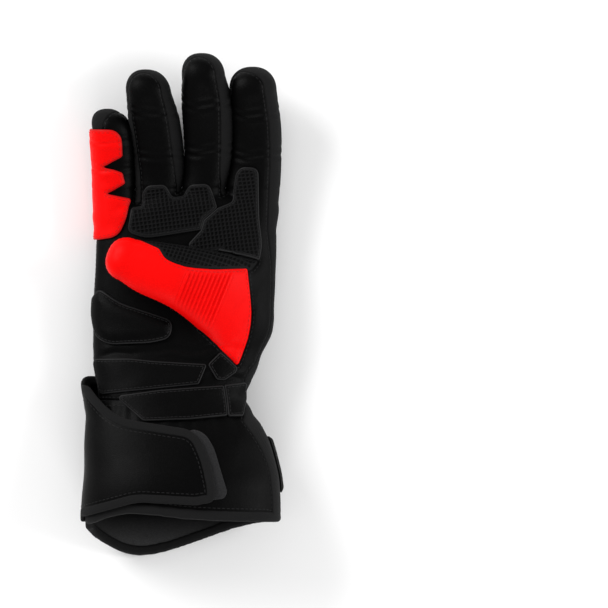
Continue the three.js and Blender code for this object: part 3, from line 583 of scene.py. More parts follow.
def cut(surface, value):
    """The part of a surface where the value is above zero, with a clean edge."""
    touched = (value[surface.triangles] > -CUT_PAD).any(1)
    value = value[np.unique(surface.triangles[touched])]
    surface, value = near_line(surface.taken(touched), value)
    t = surface.triangles
    v = value[t]
    inner_corners = (v >= 0).sum(1)
    some = (v > 0).any(1)
    one = np.flatnonzero((inner_corners == 1) & some)
    lead = np.argmax(v[one] >= 0, axis=1)
    a, b, c = (t[one, (lead + i) % 3] for i in range(3))
    two = np.flatnonzero((inner_corners == 2) & some)
    lead = np.argmin(v[two] >= 0, axis=1)
    d, e, f = (t[two, (lead + i) % 3] for i in range(3))
    ends = np.column_stack((np.concatenate((a, a, e, f)), np.concatenate((b, c, d, d))))
    count = len(surface.points)
    keys, number = np.unique(ends[:, 0] * count + ends[:, 1], return_inverse=True)
    inner, outer = keys // count, keys % count
    share = value[inner] / (value[inner] - value[outer])
    points = np.concatenate((surface.points, between(surface.points, inner, outer, share)))
    ids = np.where(value[inner] == 0, inner, count + np.arange(len(keys)))[number.ravel()]
    ab, ac, ed, fd = np.split(ids, np.cumsum((len(a), len(a), len(d))))
    faces = np.concatenate((
        t[(inner_corners == 3) & some],
        np.column_stack((a, ab, ac)),
        np.column_stack((ed, e, f)),
        np.column_stack((ed, f, fd)),
    ))
    good = ((faces[:, 0] != faces[:, 1]) & (faces[:, 1] != faces[:, 2])
            & (faces[:, 2] != faces[:, 0]))
    values = mixed_values(surface.values, inner, outer, share)
    return Surface(points, faces, values).taken(good)


def net(field, low, step):
    """A mesh where the field on a grid changes its sign: one point to a cell."""
    inside = field < 0
    count = sum(
        inside[i:inside.shape[0] - 1 + i, j:inside.shape[1] - 1 + j, k:inside.shape[2] - 1 + k]
        .astype(np.int8)
        for i in (0, 1) for j in (0, 1) for k in (0, 1))
    mixed = (count > 0) & (count < 8)
    number = np.full(mixed.shape, -1, np.int64)
    number[mixed] = np.arange(mixed.sum())
    points = (np.argwhere(mixed) + 0.5) * step + np.array(low)
    triangles = []
    for axis in range(3):
        turn = (axis, (axis + 1) % 3, (axis + 2) % 3)
        solid = inside.transpose(turn)
        cells = number.transpose(turn)
        i, j, k = np.nonzero(solid[1:, 1:-1, 1:-1] != solid[:-1, 1:-1, 1:-1])
        quad = np.column_stack(
            [cells[i, j + dj, k + dk] for dj, dk in ((0, 0), (1, 0), (1, 1), (0, 1))])
        leaving = solid[i, j + 1, k + 1]
        quad = np.where(leaving[:, None], quad, quad[:, ::-1])
        triangles += [quad[:, [0, 1, 2]], quad[:, [0, 2, 3]]]
    return Surface(points, np.concatenate(triangles))


def settled(surface, field, rounds):
    """Evens the mesh out and puts its points on the skin where the field is zero."""
    points = surface.points
    pairs, _ = surface.edges()
    ends = np.concatenate((pairs, pairs[:, ::-1]))
    count = np.bincount(ends[:, 0], minlength=len(points))[:, None]
    probe = 0.05
    evening = 0.6
    least_steep = 0.15
    longest = 0.7
    for turn in range(rounds):
        if turn < rounds - 2:
            total = np.column_stack([
                np.bincount(ends[:, 0], points[ends[:, 1], axis], len(points))
                for axis in range(3)])
            points = (1 - evening) * points + evening * total / np.maximum(count, 1)
        here = field(*points.T)
        slope = np.column_stack([
            (field(*(points + probe * np.eye(3)[axis]).T) - here) / probe
            for axis in range(3)])
        steep = np.maximum((slope * slope).sum(1), least_steep)
        move = -(here / steep)[:, None] * slope
        length = np.linalg.norm(move, axis=1, keepdims=True)
        points = points + move * np.minimum(1, longest / np.maximum(length, 1e-9))
    return Surface(points, surface.triangles, surface.values)


def without_crumbs(surface):
    """The surface without the scraps that a cut leaves over."""
    label = np.arange(len(surface.points))
    pairs, _ = surface.edges()
    a, b = pairs.T
    while True:
        low = np.minimum(label[a], label[b])
        new = label.copy()
        np.minimum.at(new, a, low)
        np.minimum.at(new, b, low)
        new = new[new]
        new = new[new]
        if (new == label).all():
            break
        label = new
    group = label[surface.triangles[:, 0]]
    size = np.bincount(group, minlength=len(label))
    return surface.taken(size[group] >= CRUMB)


# Shapes of the pieces in the flat glove

def round_outline(corners):
    """The outline's corners rounded with arcs, as points."""
    corners = np.array(corners, float)
    points = []
    for i, (x, y, radius) in enumerate(corners):
        here = np.array((x, y))
        to_a = corners[i - 1, :2] - here
        to_b = corners[(i + 1) % len(corners), :2] - here
        length_a, length_b = np.linalg.norm(to_a), np.linalg.norm(to_b)
        to_a, to_b = to_a / length_a, to_b / length_b
        bend = math.pi - math.acos(np.clip(to_a @ to_b, -1, 1))
        reach = min(radius * math.tan(bend / 2), ARC_REACH * min(length_a, length_b))
        steps = max(2, round(math.degrees(bend) / ARC_STEP))
        for t in np.linspace(0, 1, steps + 1):
            points.append(here + to_a * (1 - t) ** 2 * reach + to_b * t * t * reach)
    return np.array(points)


def inside(points, surface):
    """How far the surface's points lie inside a closed outline, with minus outside of it."""
    far = 9.0  # no point counts as further outside than this
    low = points.min(0) - far
    high = points.max(0) + far
    seen = surface.values["seen"]
    near = np.flatnonzero(((seen > low) & (seen < high)).all(1))
    place = seen[near]
    best = np.full(len(near), 1e9)
    odd = np.zeros(len(near), bool)
    for a, b in zip(points, np.roll(points, -1, axis=0)):
        edge = b - a
        length = edge @ edge
        if length < 1e-12:
            continue
        offset = place - a
        t = np.clip(offset @ edge / length, 0, 1)
        gap = offset - t[:, None] * edge
        best = np.minimum(best, (gap * gap).sum(1))
        rises = (a[1] > place[:, 1]) != (b[1] > place[:, 1])
        if edge[1]:
            x = a[0] + (place[:, 1] - a[1]) * edge[0] / edge[1]
            odd ^= rises & (place[:, 0] < x)
    value = np.full(len(seen), -far)
    value[near] = np.where(odd, 1, -1) * np.sqrt(best)
    return np.maximum(value, -far)


def outline(corners):
    points = round_outline(corners)
    return lambda surface: inside(points, surface)


def finger_front(finger):
    """The outline of a finger's front between its seams. The side wall lies outside of it."""
    wall, rows = finger["wall"], finger["rows"]
    base = rows["y"][-1]
    left, right, side = (rows[name][-1] for name in ("left", "right", "side"))
    seam = right - side if wall > 0 else left + side
    plain = left if wall > 0 else right
    start = rows["y"][0] - FRONT_BELOW
    far = rows["left"].min() - FRONT_BEYOND if wall > 0 else rows["right"].max() + FRONT_BEYOND
    points = [(far, start), (far, base - TIP_RUN_OUT - 3)]
    points.append((plain - wall * 1.0, base - TIP_RUN_OUT))
    top_x, top_y = finger["top"]
    for turn in np.linspace(math.pi, 0, 25):
        x = plain + wall * TIP_BAND if turn > math.pi / 2 else seam
        points.append((
            top_x + abs(math.cos(turn)) * (x - top_x),
            base + (top_y - base) * math.sin(turn) ** TIP_ROUND))
    for y in np.arange(base - 2, start, -2.0):
        edge = smooth(rows, "y", y, "right" if wall > 0 else "left")
        width = smooth(rows, "y", y, "side")
        points.append((edge - wall * width, y))
    points.append((points[-1][0], start))
    return np.array(points)


FRONTS = {name: finger_front(finger) for name, finger in FINGERS.items()}


def least(*values):
    result = values[0]
    for value in values[1:]:
        result = np.minimum(result, value)
    return result


def nearer(surface, name, forms):
    """Above zero where one form is nearer than all the others."""
    value = surface.values
    return least(*(value[other] for other in forms if other != name)) - value[name]


def finger_side(surface, name):
    """Above zero where a finger is nearer than the next ones, also on the hand below it."""
    return nearer(surface, name, FINGERS)


def on_thumb(surface):
    return nearer(surface, "thumb", BODY)


def finger_wall(surface, name):
    wall = least(nearer(surface, name, BODY), -inside(FRONTS[name], surface))
    if name != "ring":
        return wall
    edge = (smooth(FINGERS["ring"]["rows"], "y", surface.y, "left")
            + smooth(RING_STRIP, "y", surface.y, "side"))
    strip = least(edge - surface.x, finger_side(surface, "ring"),
                  surface.y - RING_STRIP["y"][0], RING_STRIP["y"][-1] - surface.y)
    return np.maximum(wall, strip)


def index_wall(surface):
    """The index finger's side wall, which runs on down the hand as a thin strip."""
    y = surface.y
    low = FINGERS["index"]["rows"]["y"][0]
    hand_edge = smooth(HAND, "y", y, "right") - smooth(INDEX_STRIP, "y", y, "side")
    strip = least(surface.x - hand_edge, y - STRIP_END, low + 1 - y)
    finger = least(-inside(FRONTS["index"], surface), y - low, finger_side(surface, "index"))
    return np.maximum(strip, finger)


def little_wall(surface):
    return least(
        finger_side(surface, "little"), -inside(FRONTS["little"], surface),
        surface.y - LITTLE_WALL_START)


def over_thumb_axis(surface):
    along, _ = thumb_place(surface.x, surface.y)
    return surface.h - smooth(THUMB, "along", along, "height")


def off_thumb_middle(surface):
    """How far along the thumb points lie, and how far to the side of its middle."""
    along, side = thumb_place(surface.x, surface.y)
    return along, side - smooth(THUMB, "along", along, "side")


THUMB_BACK_SHAPE = outline(THUMB_BACK)
THUMB_GRIP_SHAPE = outline(THUMB_GRIP)


def thumb_back(surface):
    return least(THUMB_BACK_SHAPE(surface), over_thumb_axis(surface))


def thumb_grip(surface):
    return least(on_thumb(surface) + ROOT_BLEND, over_thumb_axis(surface),
                 -THUMB_BACK_SHAPE(surface), THUMB_GRIP_SHAPE(surface))


def thumb_underside(surface):
    along, side = off_thumb_middle(surface)
    climb = ROOT_BLEND * ramp(side, 0, UNDERSIDE_CLIMB)
    return least(on_thumb(surface) + climb, -over_thumb_axis(surface),
                 along + UNDERSIDE_SLANT * side - UNDERSIDE_FROM)


def side_walls(surface):
    return np.maximum.reduce((
        index_wall(surface), finger_wall(surface, "middle"), finger_wall(surface, "ring"),
        little_wall(surface)))


def palm(surface):
    return least(
        surface.h, -side_walls(surface), -thumb_back(surface), -thumb_grip(surface),
        -thumb_underside(surface), surface.y - WRIST_SEAM)


def back_of_hand(surface):
    return least(-surface.h, -side_walls(surface), surface.y - WRIST_SEAM)


def over_hem(surface, rise=0.0):
    front = smooth(HEM_FRONT, "x", surface.x, "y")
    back = smooth(HEM_BACK, "x", surface.x, "y")
    share = ramp(surface.h, -HEM_TURN / 2, HEM_TURN / 2)
    return surface.y - (front * share + back * (1 - share)) - rise


SIDE_TAPE_SHAPE = outline(SIDE_TAPE)


def side_tape(surface):
    return least(SIDE_TAPE_SHAPE(surface), surface.h + TUCK, over_hem(surface, HEM_WIDTH - TUCK))


def cuff_front(surface):
    return least(
        surface.h, WRIST_SEAM - surface.y, over_hem(surface, HEM_WIDTH - TUCK),
        TUCK - SIDE_TAPE_SHAPE(surface))


def cuff_back(surface):
    return least(-surface.h, WRIST_SEAM - surface.y, over_hem(surface, HEM_WIDTH - TUCK))


def hem_tape(surface):
    return least(over_hem(surface), -over_hem(surface, HEM_WIDTH))


def lining(surface):
    return least(over_hem(surface, HEM_WIDTH - LINING_TUCK), LINING_END - surface.y)


FLAP_FRONT_SHAPE = outline(FLAP_FRONT)
FLAP_BACK_SHAPE = outline(FLAP_BACK)


def flap(surface):
    share = ramp(surface.h, -FLAP_TURN, FLAP_TURN)
    shape = FLAP_FRONT_SHAPE(surface) * share + FLAP_BACK_SHAPE(surface) * (1 - share)
    return least(shape, surface.h + FLAP_HANG)


def flap_inner(surface):
    return flap(surface) - FLAP_TAPE_WIDTH + TUCK


def flap_tape(surface):
    return least(flap(surface), FLAP_TAPE_WIDTH - flap(surface))


def on_front(corners):
    shape = outline(corners)
    return lambda surface: least(shape(surface), surface.h, -on_thumb(surface))


def index_grip(surface):
    shape = outline(INDEX_GRIP)(surface)
    along, _ = thumb_place(surface.x, surface.y)
    beside = least(on_thumb(surface) + ROOT_BLEND, along - GRIP_CLEAR)
    return least(shape, surface.h, -thumb_grip(surface), -thumb_back(surface), -beside)


BACK_PAD_SHAPE = outline(BACK_PAD_OUTLINE)


def back_pad(surface):
    return least(BACK_PAD_SHAPE(surface), -surface.h, surface.h + BACK_PAD_REACH)


# The glove's skin

def glove_skin():
    axes = [np.arange(low, high + CELL, CELL) for low, high in DOMAIN]
    x, y, h = (axis.reshape([-1 if i == n else 1 for i in range(3)])
               for n, axis in enumerate(axes))
    grid = fields(x, y, h)["glove"]
    surface = net(grid, [low for low, _ in DOMAIN], CELL)
    surface = settled(surface, lambda *p: fields(*p)["glove"], SETTLING_ROUNDS)
    value = fields(surface.x, surface.y, surface.h)
    del value["glove"]
    surface.values = value
    # Some form of all six is always near, so the total is above zero.
    near = {name: np.exp(-np.maximum(value[name], 0) / SPREAD_SOFT) for name in (*BODY, "thumb")}
    total = sum(near.values())
    shift = sum(near[name] * finger["spread"] for name, finger in FINGERS.items()) / total
    surface.points[:, 0] -= shift * spread_share(surface.y)
    surface.values["home"] = surface.points.copy()
    surface.values["seen"] = lifted(surface.points)[:, :2]
    return surface


# Wear: soft unevenness, folds at the joints and gathers at the wrist

def wavy(points, wave):
    """Smooth noise of about the wave's height and length."""
    height, length, seed = wave
    shift = Vector((seed * 17.3, seed * 5.1, seed * 9.7))  # far enough apart to look unlike
    scale = 1 / length
    return height * np.array([noise.noise(Vector(p) * scale + shift) for p in points.tolist()])


def groove(at, width):
    """A crease with a soft bulge on both sides of it."""
    near = at / width
    return (1 - near * near) * np.exp(-near * near / 2)


def cuff_sag(points):
    return wavy(points * (0.5, 1, 0.5), CUFF_WAVE) * ramp(-points[:, 1], *CUFF_WAVE_FROM)


def worn(surface, folds=1.0):
    """The skin with its folds, which fade out on the thumb."""
    normal = surface.normals()
    x, y, h = surface.points.T
    front = ramp(h, -6, 6)
    soft = wavy(surface.points, SOFT_WAVE) + wavy(surface.points, FINE_WAVE)
    fold = np.zeros_like(x)
    bend = wavy(np.column_stack((x, y * 0, h)), FOLD_WAVE)
    round_it = JOINT_FOLD_BACK + (1 - JOINT_FOLD_BACK) * front
    for name, finger in FINGERS.items():
        mine = ramp(finger_side(surface, name), 0, 2) * ramp(y, 70, 78)
        start, end = finger["rows"]["y"][0] + JOINT_FOLDS_FROM, finger["tip"][1]
        for share, depth in JOINT_FOLDS:
            at = start + (end - start) * share
            fold -= mine * depth * round_it * groove(y - at + bend, JOINT_FOLD_WIDTH)
    across = ramp(-np.abs(x - WRIST_FOLD_X), *WRIST_FOLD_ENDS)
    for at, slope, depth in WRIST_FOLDS:
        crease = groove(y - at - slope * x + WRIST_FOLD_BEND * bend, WRIST_FOLD_WIDTH)
        fold -= depth * crease * across
    gather = np.sin(x * 2 * math.pi / GATHER_PITCH + wavy(surface.points, GATHER_WAVE))
    at_wrist = np.exp(-((y - WRIST_SEAM + GATHER_BELOW) / GATHER_REACH) ** 2)
    fold += GATHER_DEPTH * gather * at_wrist
    over = over_thumb_axis(surface) * ramp(on_thumb(surface), 0, 2)
    calm = 1 - THUMB_CALM * ramp(over, 0, 4)
    move = (soft + fold * folds) * calm + cuff_sag(surface.points)
    points = surface.points + normal * move[:, None]
    return Surface(points, surface.triangles, surface.values)


def rested(surface):
    """The skin flattened where it lies on the floor."""
    points = surface.points.copy()
    floor = -middle_height(points[:, 1])
    over = points[:, 2] - floor
    reach = REST_REACH
    soft = np.where(over > reach, over, reach * np.exp(np.minimum(over - reach, 0) / reach))
    points[:, 2] = floor + soft - reach * REST_SINK
    return Surface(points, surface.triangles, surface.values)


# Making pieces

def sides_of(shape):
    """The edges that only one triangle has, in that triangle's direction."""
    ends = triangle_sides(shape.triangles)
    count = len(shape.points)
    keys = ends[:, 0] * count + ends[:, 1]
    back = ends[:, 1] * count + ends[:, 0]
    return ends[~np.isin(keys, back)]


def outward(shape, rim, normal):
    """For each point of the rim, the way out of the shape along its surface."""
    a, b = rim.T
    along = unit(shape.points[b] - shape.points[a])
    total = np.zeros_like(shape.points)
    step = np.cross(along, normal[a] + normal[b])
    for ends in (a, b):
        np.add.at(total, ends, step)
    for _ in range(2):
        spread = total.copy()
        np.add.at(spread, a, 0.5 * total[b])
        np.add.at(spread, b, 0.5 * total[a])
        total = spread
    total -= (total * normal).sum(1, keepdims=True) * normal
    return unit(total)


def slot_press(shape):
    """How much further the edges reach where a seam runs down between two fingers."""
    if "index" not in shape.values:
        return np.zeros(len(shape.points))
    second = np.sort([shape.values[name] for name in FINGERS], axis=0)[1]
    return SLOT_PRESS * (1 - ramp(second, *SLOT))


SKINS = {}


def piece(name, node, slot, surface, region, low, high, materials, edge=FOLDED_EDGE,
          folded=True, dip=SEAM_DIP, relief=None, fine=0, field=None):
    """A closed piece of leather or cloth between two heights over a surface."""
    rough = surface.taken((region(surface)[surface.triangles] > -CUT_PAD).any(1))
    for _ in range(fine):
        rough = rough.refined()
    rough.values["depth"] = rough.spaced(region(rough))
    shape = without_crumbs(cut(rough, rough.values["depth"] - edge))
    depth = shape.values["depth"]
    normal = unit(shape.values["normal"])
    top = np.full(len(depth), float(high)) - dip * np.exp(-(depth / SEAM_DIP_REACH) ** 2)
    mark = np.zeros(len(depth))
    if relief:
        rise, mark = relief(shape, depth)
        top = top + rise
    bottom = np.full(len(depth), float(low))
    outer = shape.points + normal * top[:, None]
    inner = shape.points + normal * bottom[:, None]
    rim = sides_of(shape)
    way = outward(shape, rim, normal)
    loop = np.unique(rim)
    place = np.full(len(depth), -1)
    place[loop] = np.arange(len(loop))
    reach = (edge + SEAM_PRESS + slot_press(shape))[:, None]

    def edge_ring(level, out):
        return (shape.points + normal * level[:, None] + way * reach * out)[loop]

    rings = [outer[loop]]
    if folded:
        for turn in np.linspace(0, math.pi, EDGE_STEPS + 2)[1:-1]:
            level = (top + bottom) / 2 + (top - bottom) / 2 * math.cos(turn)
            rings.append(edge_ring(level, math.sin(turn)))
    else:
        for turn in np.linspace(0, math.pi / 2, EDGE_STEPS)[1:]:
            rings.append(edge_ring(top - edge * (1 - math.cos(turn)), math.sin(turn)))
        rings.append(edge_ring(bottom, 1))
    rings.append(inner[loop])
    count = len(depth)
    points = [outer, inner] + rings[1:-1]
    first = [2 * count + i * len(loop) for i in range(len(rings) - 2)]
    a, b = rim.T

    def ring(i, ends):
        if i == 0:
            return ends
        if i == len(rings) - 1:
            return ends + count
        return first[i - 1] + place[ends]

    t = shape.triangles
    faces = [t, t[:, ::-1] + count]
    for i in range(len(rings) - 1):
        a0, b0, a1, b1 = ring(i, a), ring(i, b), ring(i + 1, a), ring(i + 1, b)
        faces += [np.column_stack((b0, a0, a1)), np.column_stack((b0, a1, b1))]
    rim_from = 2 * len(t)
    faces = np.concatenate(faces)
    material = np.zeros(len(faces), np.int32)
    if len(materials) > 1:
        material[rim_from:] = 1
    marks = {}
    if field:
        marks[field] = np.concatenate((mark, mark * 0, np.zeros(len(loop) * len(first))))
    obj = made(name, np.concatenate(points), faces, materials, material, marks)
    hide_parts(node)
    SKINS[name] = Surface(outer, t, {"depth": depth, "normal": normal})
    return obj


def made(name, points, faces, materials, material=None, marks=None):
    """A Blender object of triangles, which rides on the part's only body."""
    points = lifted(points) * MM
    mesh = bpy.data.meshes.new(name)
    mesh.vertices.add(len(points))
    mesh.vertices.foreach_set("co", points.astype(np.float32).ravel())
    mesh.loops.add(3 * len(faces))
    mesh.loops.foreach_set("vertex_index", faces.astype(np.int32).ravel())
    mesh.polygons.add(len(faces))
    mesh.polygons.foreach_set("loop_start", np.arange(0, 3 * len(faces), 3, dtype=np.int32))
    for each in materials:
        mesh.materials.append(each)
    if material is not None:
        mesh.polygons.foreach_set("material_index", material)
    for field, values in (marks or {}).items():
        attribute = mesh.attributes.new(field, "FLOAT", "POINT")
        attribute.data.foreach_set("value", values.astype(np.float32))
    mesh.update()
    mesh.validate()
    mesh.shade_smooth()
    obj = bpy.data.objects.new(name, mesh)
    bpy.context.scene.collection.objects.link(obj)
    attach(obj, "root")
    return obj


def level_lines(surface, value):
    """Lines on a surface where the value is zero, as lists of points with their normals."""
    pairs, number = surface.edges()
    a, b = pairs.T
    crossed = value[a] * value[b] < 0
    share = np.where(crossed, value[a] / np.where(crossed, value[a] - value[b], 1), 0)
    place = between(surface.points, a, b, share)
    normal = between(surface.values["normal"], a, b, share)
    hit = crossed[number]
    rows = np.flatnonzero(hit.sum(1) == 2)
    links = {}
    for row in rows.tolist():
        i, j = number[row][hit[row]].tolist()
        links.setdefault(i, []).append(j)
        links.setdefault(j, []).append(i)
    lines = []
    ends = sorted(links, key=lambda i: (len(links[i]), i))
    seen = set()
    for start in ends:
        if start in seen:
            continue
        line = [start]
        seen.add(start)
        while True:
            step = [i for i in links[line[-1]] if i not in seen]
            if not step:
                break
            line.append(step[0])
            seen.add(step[0])
        if len(links[start]) == 2 and start in links[line[-1]]:
            line.append(start)
        lines.append((place[line], unit(normal[line])))
    return lines


def even(points, normals, pitch):
    """Places along a line at an even pitch, with the direction and the normal there."""
    step = np.linalg.norm(np.diff(points, axis=0), axis=1)
    way = np.concatenate(((0,), np.cumsum(step)))
    count = int(way[-1] // pitch)
    if count < 2:
        return None
    at = (np.arange(count) + 0.5) * way[-1] / count
    almost_half = pitch * 0.4

    def on(track, where):
        return np.column_stack([np.interp(where, way, track[:, i]) for i in range(3)])

    along = unit(on(points, at + almost_half) - on(points, at - almost_half))
    return on(points, at), along, unit(on(normals, at))


def capsule(sides, length, radius):
    """A thread's short stitch, along X."""
    rings = []
    for share, x in ((0.55, -0.5), (1.0, -0.28), (1.0, 0.28), (0.55, 0.5)):
        turn = np.arange(sides) * 2 * math.pi / sides
        rings.append(np.column_stack((
            np.full(sides, x * length), np.cos(turn) * radius * share,
            np.sin(turn) * radius * share)))
    points = np.concatenate(rings)
    faces = []
    for r in range(3):
        for i in range(sides):
            a, b = r * sides + i, r * sides + (i + 1) % sides
            faces += [(a, b + sides, b), (a, a + sides, b + sides)]
    for i in range(1, sides - 1):
        faces += [(0, i, i + 1), (3 * sides, 3 * sides + i + 1, 3 * sides + i)]
    return points, np.array(faces)


STITCHES = {}


def stitch(kind, name, inset, pitch):
    """A row of stitches all round a piece, a distance in from its edge."""
    top = SKINS[name]
    for points, normals in level_lines(top, top.values["depth"] - inset):
        row = even(points, normals, pitch)
        if row is not None:
            STITCHES.setdefault(kind, []).append(row)


def sew(kind, material):
    """All stitches of one thread as one mesh."""
    at, along, normal = (np.concatenate(each) for each in zip(*STITCHES[kind]))
    across = np.cross(normal, along)
    points, faces = capsule(6, STITCH_LENGTH, STITCH_RADIUS)
    world = (at[:, None] + points[None, :, :1] * along[:, None]
             + points[None, :, 1:2] * across[:, None]
             + (points[None, :, 2:] - STITCH_SUNK) * normal[:, None])
    count = len(points)
    faces = (faces[None] + (np.arange(len(at)) * count)[:, None, None]).reshape(-1, 3)
    made(f"stitches_{kind}", world.reshape(-1, 3), faces, [material])


# Materials, all procedural and in the object's own coordinates

class Nodes:
    """A material's nodes, added one after the other."""

    def __init__(self, name, color, roughness, specular):
        self.material = bpy.data.materials.new(name)
        self.material.use_nodes = True
        self.tree = self.material.node_tree
        self.shader = self.tree.nodes["Principled BSDF"]
        self.set("Base Color", color)
        self.set("Roughness", roughness)
        self.set("Specular IOR Level", specular)
        self.place = self.add("ShaderNodeTexCoord").outputs["Object"]
        self.height = None

    def plug(self, value, socket):
        """Links a socket to another node's output, or gives it a colour or a number."""
        if isinstance(value, bpy.types.NodeSocket):
            self.tree.links.new(value, socket)
        else:
            socket.default_value = (*value, 1) if socket.type == "RGBA" else value

    def set(self, name, value):
        self.plug(value, self.shader.inputs[name])

    def add(self, kind, inputs=None, **settings):
        node = self.tree.nodes.new(kind)
        for name, value in settings.items():
            setattr(node, name, value)
        for name, value in (inputs or {}).items():
            self.plug(value, node.inputs[name])
        return node

    def noise(self, size, detail=3.0, place=None, rough=0.5):
        inputs = {"Vector": place or self.place, "Scale": 1 / (size * MM), "Detail": detail,
                  "Roughness": rough}
        return self.add("ShaderNodeTexNoise", inputs).outputs["Fac"]

    def cells(self, size):
        inputs = {"Vector": self.place, "Scale": 1 / (size * MM)}
        node = self.add("ShaderNodeTexVoronoi", inputs, feature="DISTANCE_TO_EDGE")
        return node.outputs["Distance"]

    def math(self, operation, a, b=0.0, clamp=False):
        node = self.add("ShaderNodeMath", {0: a, 1: b}, operation=operation, use_clamp=clamp)
        return node.outputs[0]

    def ranged(self, value, low, high):
        """0 at low, 1 at high."""
        inputs = {"Value": value, "From Min": low, "From Max": high}
        return self.add("ShaderNodeMapRange", inputs).outputs["Result"]

    def blend(self, share, a, b):
        return self.add("ShaderNodeMix", {0: share, 6: a, 7: b}, data_type="RGBA").outputs[2]

    def mapped(self, **inputs):
        return self.add("ShaderNodeMapping", {"Vector": self.place, **inputs}).outputs[0]

    def sheen(self, weight, roughness):
        self.set("Sheen Weight", weight)
        self.set("Sheen Roughness", roughness)

    def bump(self, height, depth, strength):
        inputs = {"Height": height, "Distance": depth * MM, "Strength": strength}
        if self.height is not None:
            inputs["Normal"] = self.height
        self.height = self.add("ShaderNodeBump", inputs).outputs["Normal"]
        self.set("Normal", self.height)


def leather(name, color, deep, roughness):
    """Fine-grained cowhide: pebbles with pores between, and slightly uneven dye."""
    m = Nodes(name, color, roughness, 0.045)
    pebble_size = 1.15
    pebbles = m.ranged(m.cells(pebble_size), 0.0, 0.32)
    pores = m.noise(0.42, 2.0)
    broad = m.noise(26.0, 3.0)
    tone = m.math("ADD", m.math("MULTIPLY", pebbles, 0.55), m.math("MULTIPLY", broad, 0.6), True)
    m.set("Base Color", m.blend(tone, deep, color))
    patch = m.math("ADD", m.math("MULTIPLY", broad, 0.22), m.math("MULTIPLY", pores, 0.12))
    m.set("Roughness", m.math("ADD", patch, roughness - 0.17, True))
    m.bump(pebbles, 0.1, 0.55)
    m.bump(pores, 0.05, 0.5)
    return m.material


def cloth(name, color, dark, roughness, thread=0.55, twill=0.0):
    """Woven or knitted cloth: two sets of threads that pass over and under each other."""
    m = Nodes(name, color, roughness, 0.05)
    turned = m.mapped(Rotation=(0.3, 0.4, 0.7 + twill))
    band = 0.314  # width of the wave node's bands at scale 1
    waves = []
    for axis in ("X", "Y"):
        wave = m.add("ShaderNodeTexWave", {
            "Vector": turned, "Scale": band / (thread * MM), "Distortion": 0.6,
            "Detail": 1.0, "Detail Scale": 2.0}, bands_direction=axis)
        waves.append(wave.outputs["Fac"])
    weave = m.math("MAXIMUM", waves[0], waves[1])
    fluff = m.noise(0.5, 3.0)
    tone = m.math("MULTIPLY", weave, m.math("ADD", fluff, 0.5), True)
    m.set("Base Color", m.blend(tone, dark, color))
    m.sheen(0.015, 0.5)
    m.bump(weave, 0.16, 0.6)
    m.bump(fluff, 0.08, 0.4)
    return m.material


def rubber_grip(name, bar, shaded_pit):
    """Rubbery bars with dimples between, which the mesh carries as a mark. The dimples get a
    near-black colour, which is painted shade.
    """
    m = Nodes(name, bar, 0.62, 0.06)
    mark = m.add("ShaderNodeAttribute", attribute_name="dimple").outputs["Fac"]
    share = m.ranged(mark, 0.25, 0.75)
    speck = m.noise(0.3, 2.0)
    # Painted shade: the dimples' floors take the near-black colour.
    m.set("Base Color", m.blend(share, bar, shaded_pit))
    m.set("Roughness", m.math("ADD", m.math("MULTIPLY", speck, 0.2), 0.5))
    m.bump(speck, 0.03, 0.4)
    return m.material


def speckled(name, color, roughness, size, detail, shade, depth, strength):
    """The painted or raw edge of cut leather, and thread: fine specks of a darker shade."""
    m = Nodes(name, color, roughness, 0.1)
    speck = m.noise(size, detail)
    m.set("Base Color", m.blend(speck, tuple(shade * c for c in color), color))
    m.bump(speck, depth, strength)
    return m.material


def lining_cloth(name, near, far):
    """Brushed knit with painted shade: paler towards the mouth, and darker deeper inside the cuff.
    """
    m = Nodes(name, near, 0.85, 0.05)
    split = m.add("ShaderNodeSeparateXYZ", {"Vector": m.place})
    # Painted shade: the colour goes from the pale near colour at the mouth to the dark far colour
    # deeper inside the cuff.
    depth = m.ranged(split.outputs["Y"], -0.158, -0.136)
    knit = m.noise(0.7, 3.0, m.mapped(Scale=(1, 2.2, 1)))
    color = m.blend(depth, near, far)
    dark = m.blend(0.55, color, (0.0, 0.0, 0.0))
    m.set("Base Color", m.blend(m.ranged(knit, 0.3, 0.7), dark, color))
    m.sheen(0.08, 0.4)
    m.bump(knit, 0.15, 0.6)
    return m.material


def pile(name, color):
    """The fuzzy face of hook-and-loop tape."""
    m = Nodes(name, color, 0.9, 0.05)
    fuzz = m.noise(0.45, 4.0, rough=0.7)
    m.set("Base Color", m.blend(m.ranged(fuzz, 0.35, 0.65), tuple(0.45 * c for c in color), color))
    m.sheen(0.1, 0.4)
    m.bump(fuzz, 0.4, 0.8)
    return m.material


BLACK = leather("black_leather", (0.0016, 0.0016, 0.0017), (0.0006, 0.0006, 0.0006), 0.44)
RED = leather("red_leather", (0.88, 0.0025, 0.002), (0.7, 0.0015, 0.0015), 0.42)
GREY = cloth("grey_cloth", (0.0105, 0.0105, 0.0107), (0.0045, 0.0045, 0.0047), 0.8)
TAPE = cloth("edge_tape", (0.0105, 0.0105, 0.0107), (0.005, 0.005, 0.0052), 0.75, 0.75, 0.5)
# The grip's second colour is painted shade in the dimples.
GRIP = rubber_grip("rubber_grip", (0.0048, 0.0048, 0.005), (0.0004, 0.0004, 0.0004))
EDGE_SPECKS = (0.5, 0.35, 3.0, 0.7, 0.08, 0.5)
THREAD_SPECKS = (0.55, 0.25, 2.0, 0.6, 0.06, 0.6)
EDGE = speckled("leather_edge", (0.014, 0.014, 0.0144), *EDGE_SPECKS)
RED_EDGE = speckled("red_leather_edge", (0.6, 0.004, 0.004), *EDGE_SPECKS)
THREAD = speckled("dark_thread", (0.014, 0.014, 0.0144), *THREAD_SPECKS)
RED_THREAD = speckled("red_thread", (0.62, 0.008, 0.007), *THREAD_SPECKS)
# The lining's second colour is painted shade for deep inside the cuff.
LINING_KNIT_PAINTED_SHADE = lining_cloth("lining_knit_painted_shade", (0.06, 0.06, 0.061), (0.006, 0.006, 0.0063))
PILE = pile("hook_and_loop", (0.028, 0.028, 0.029))


# The shapes of the reliefs

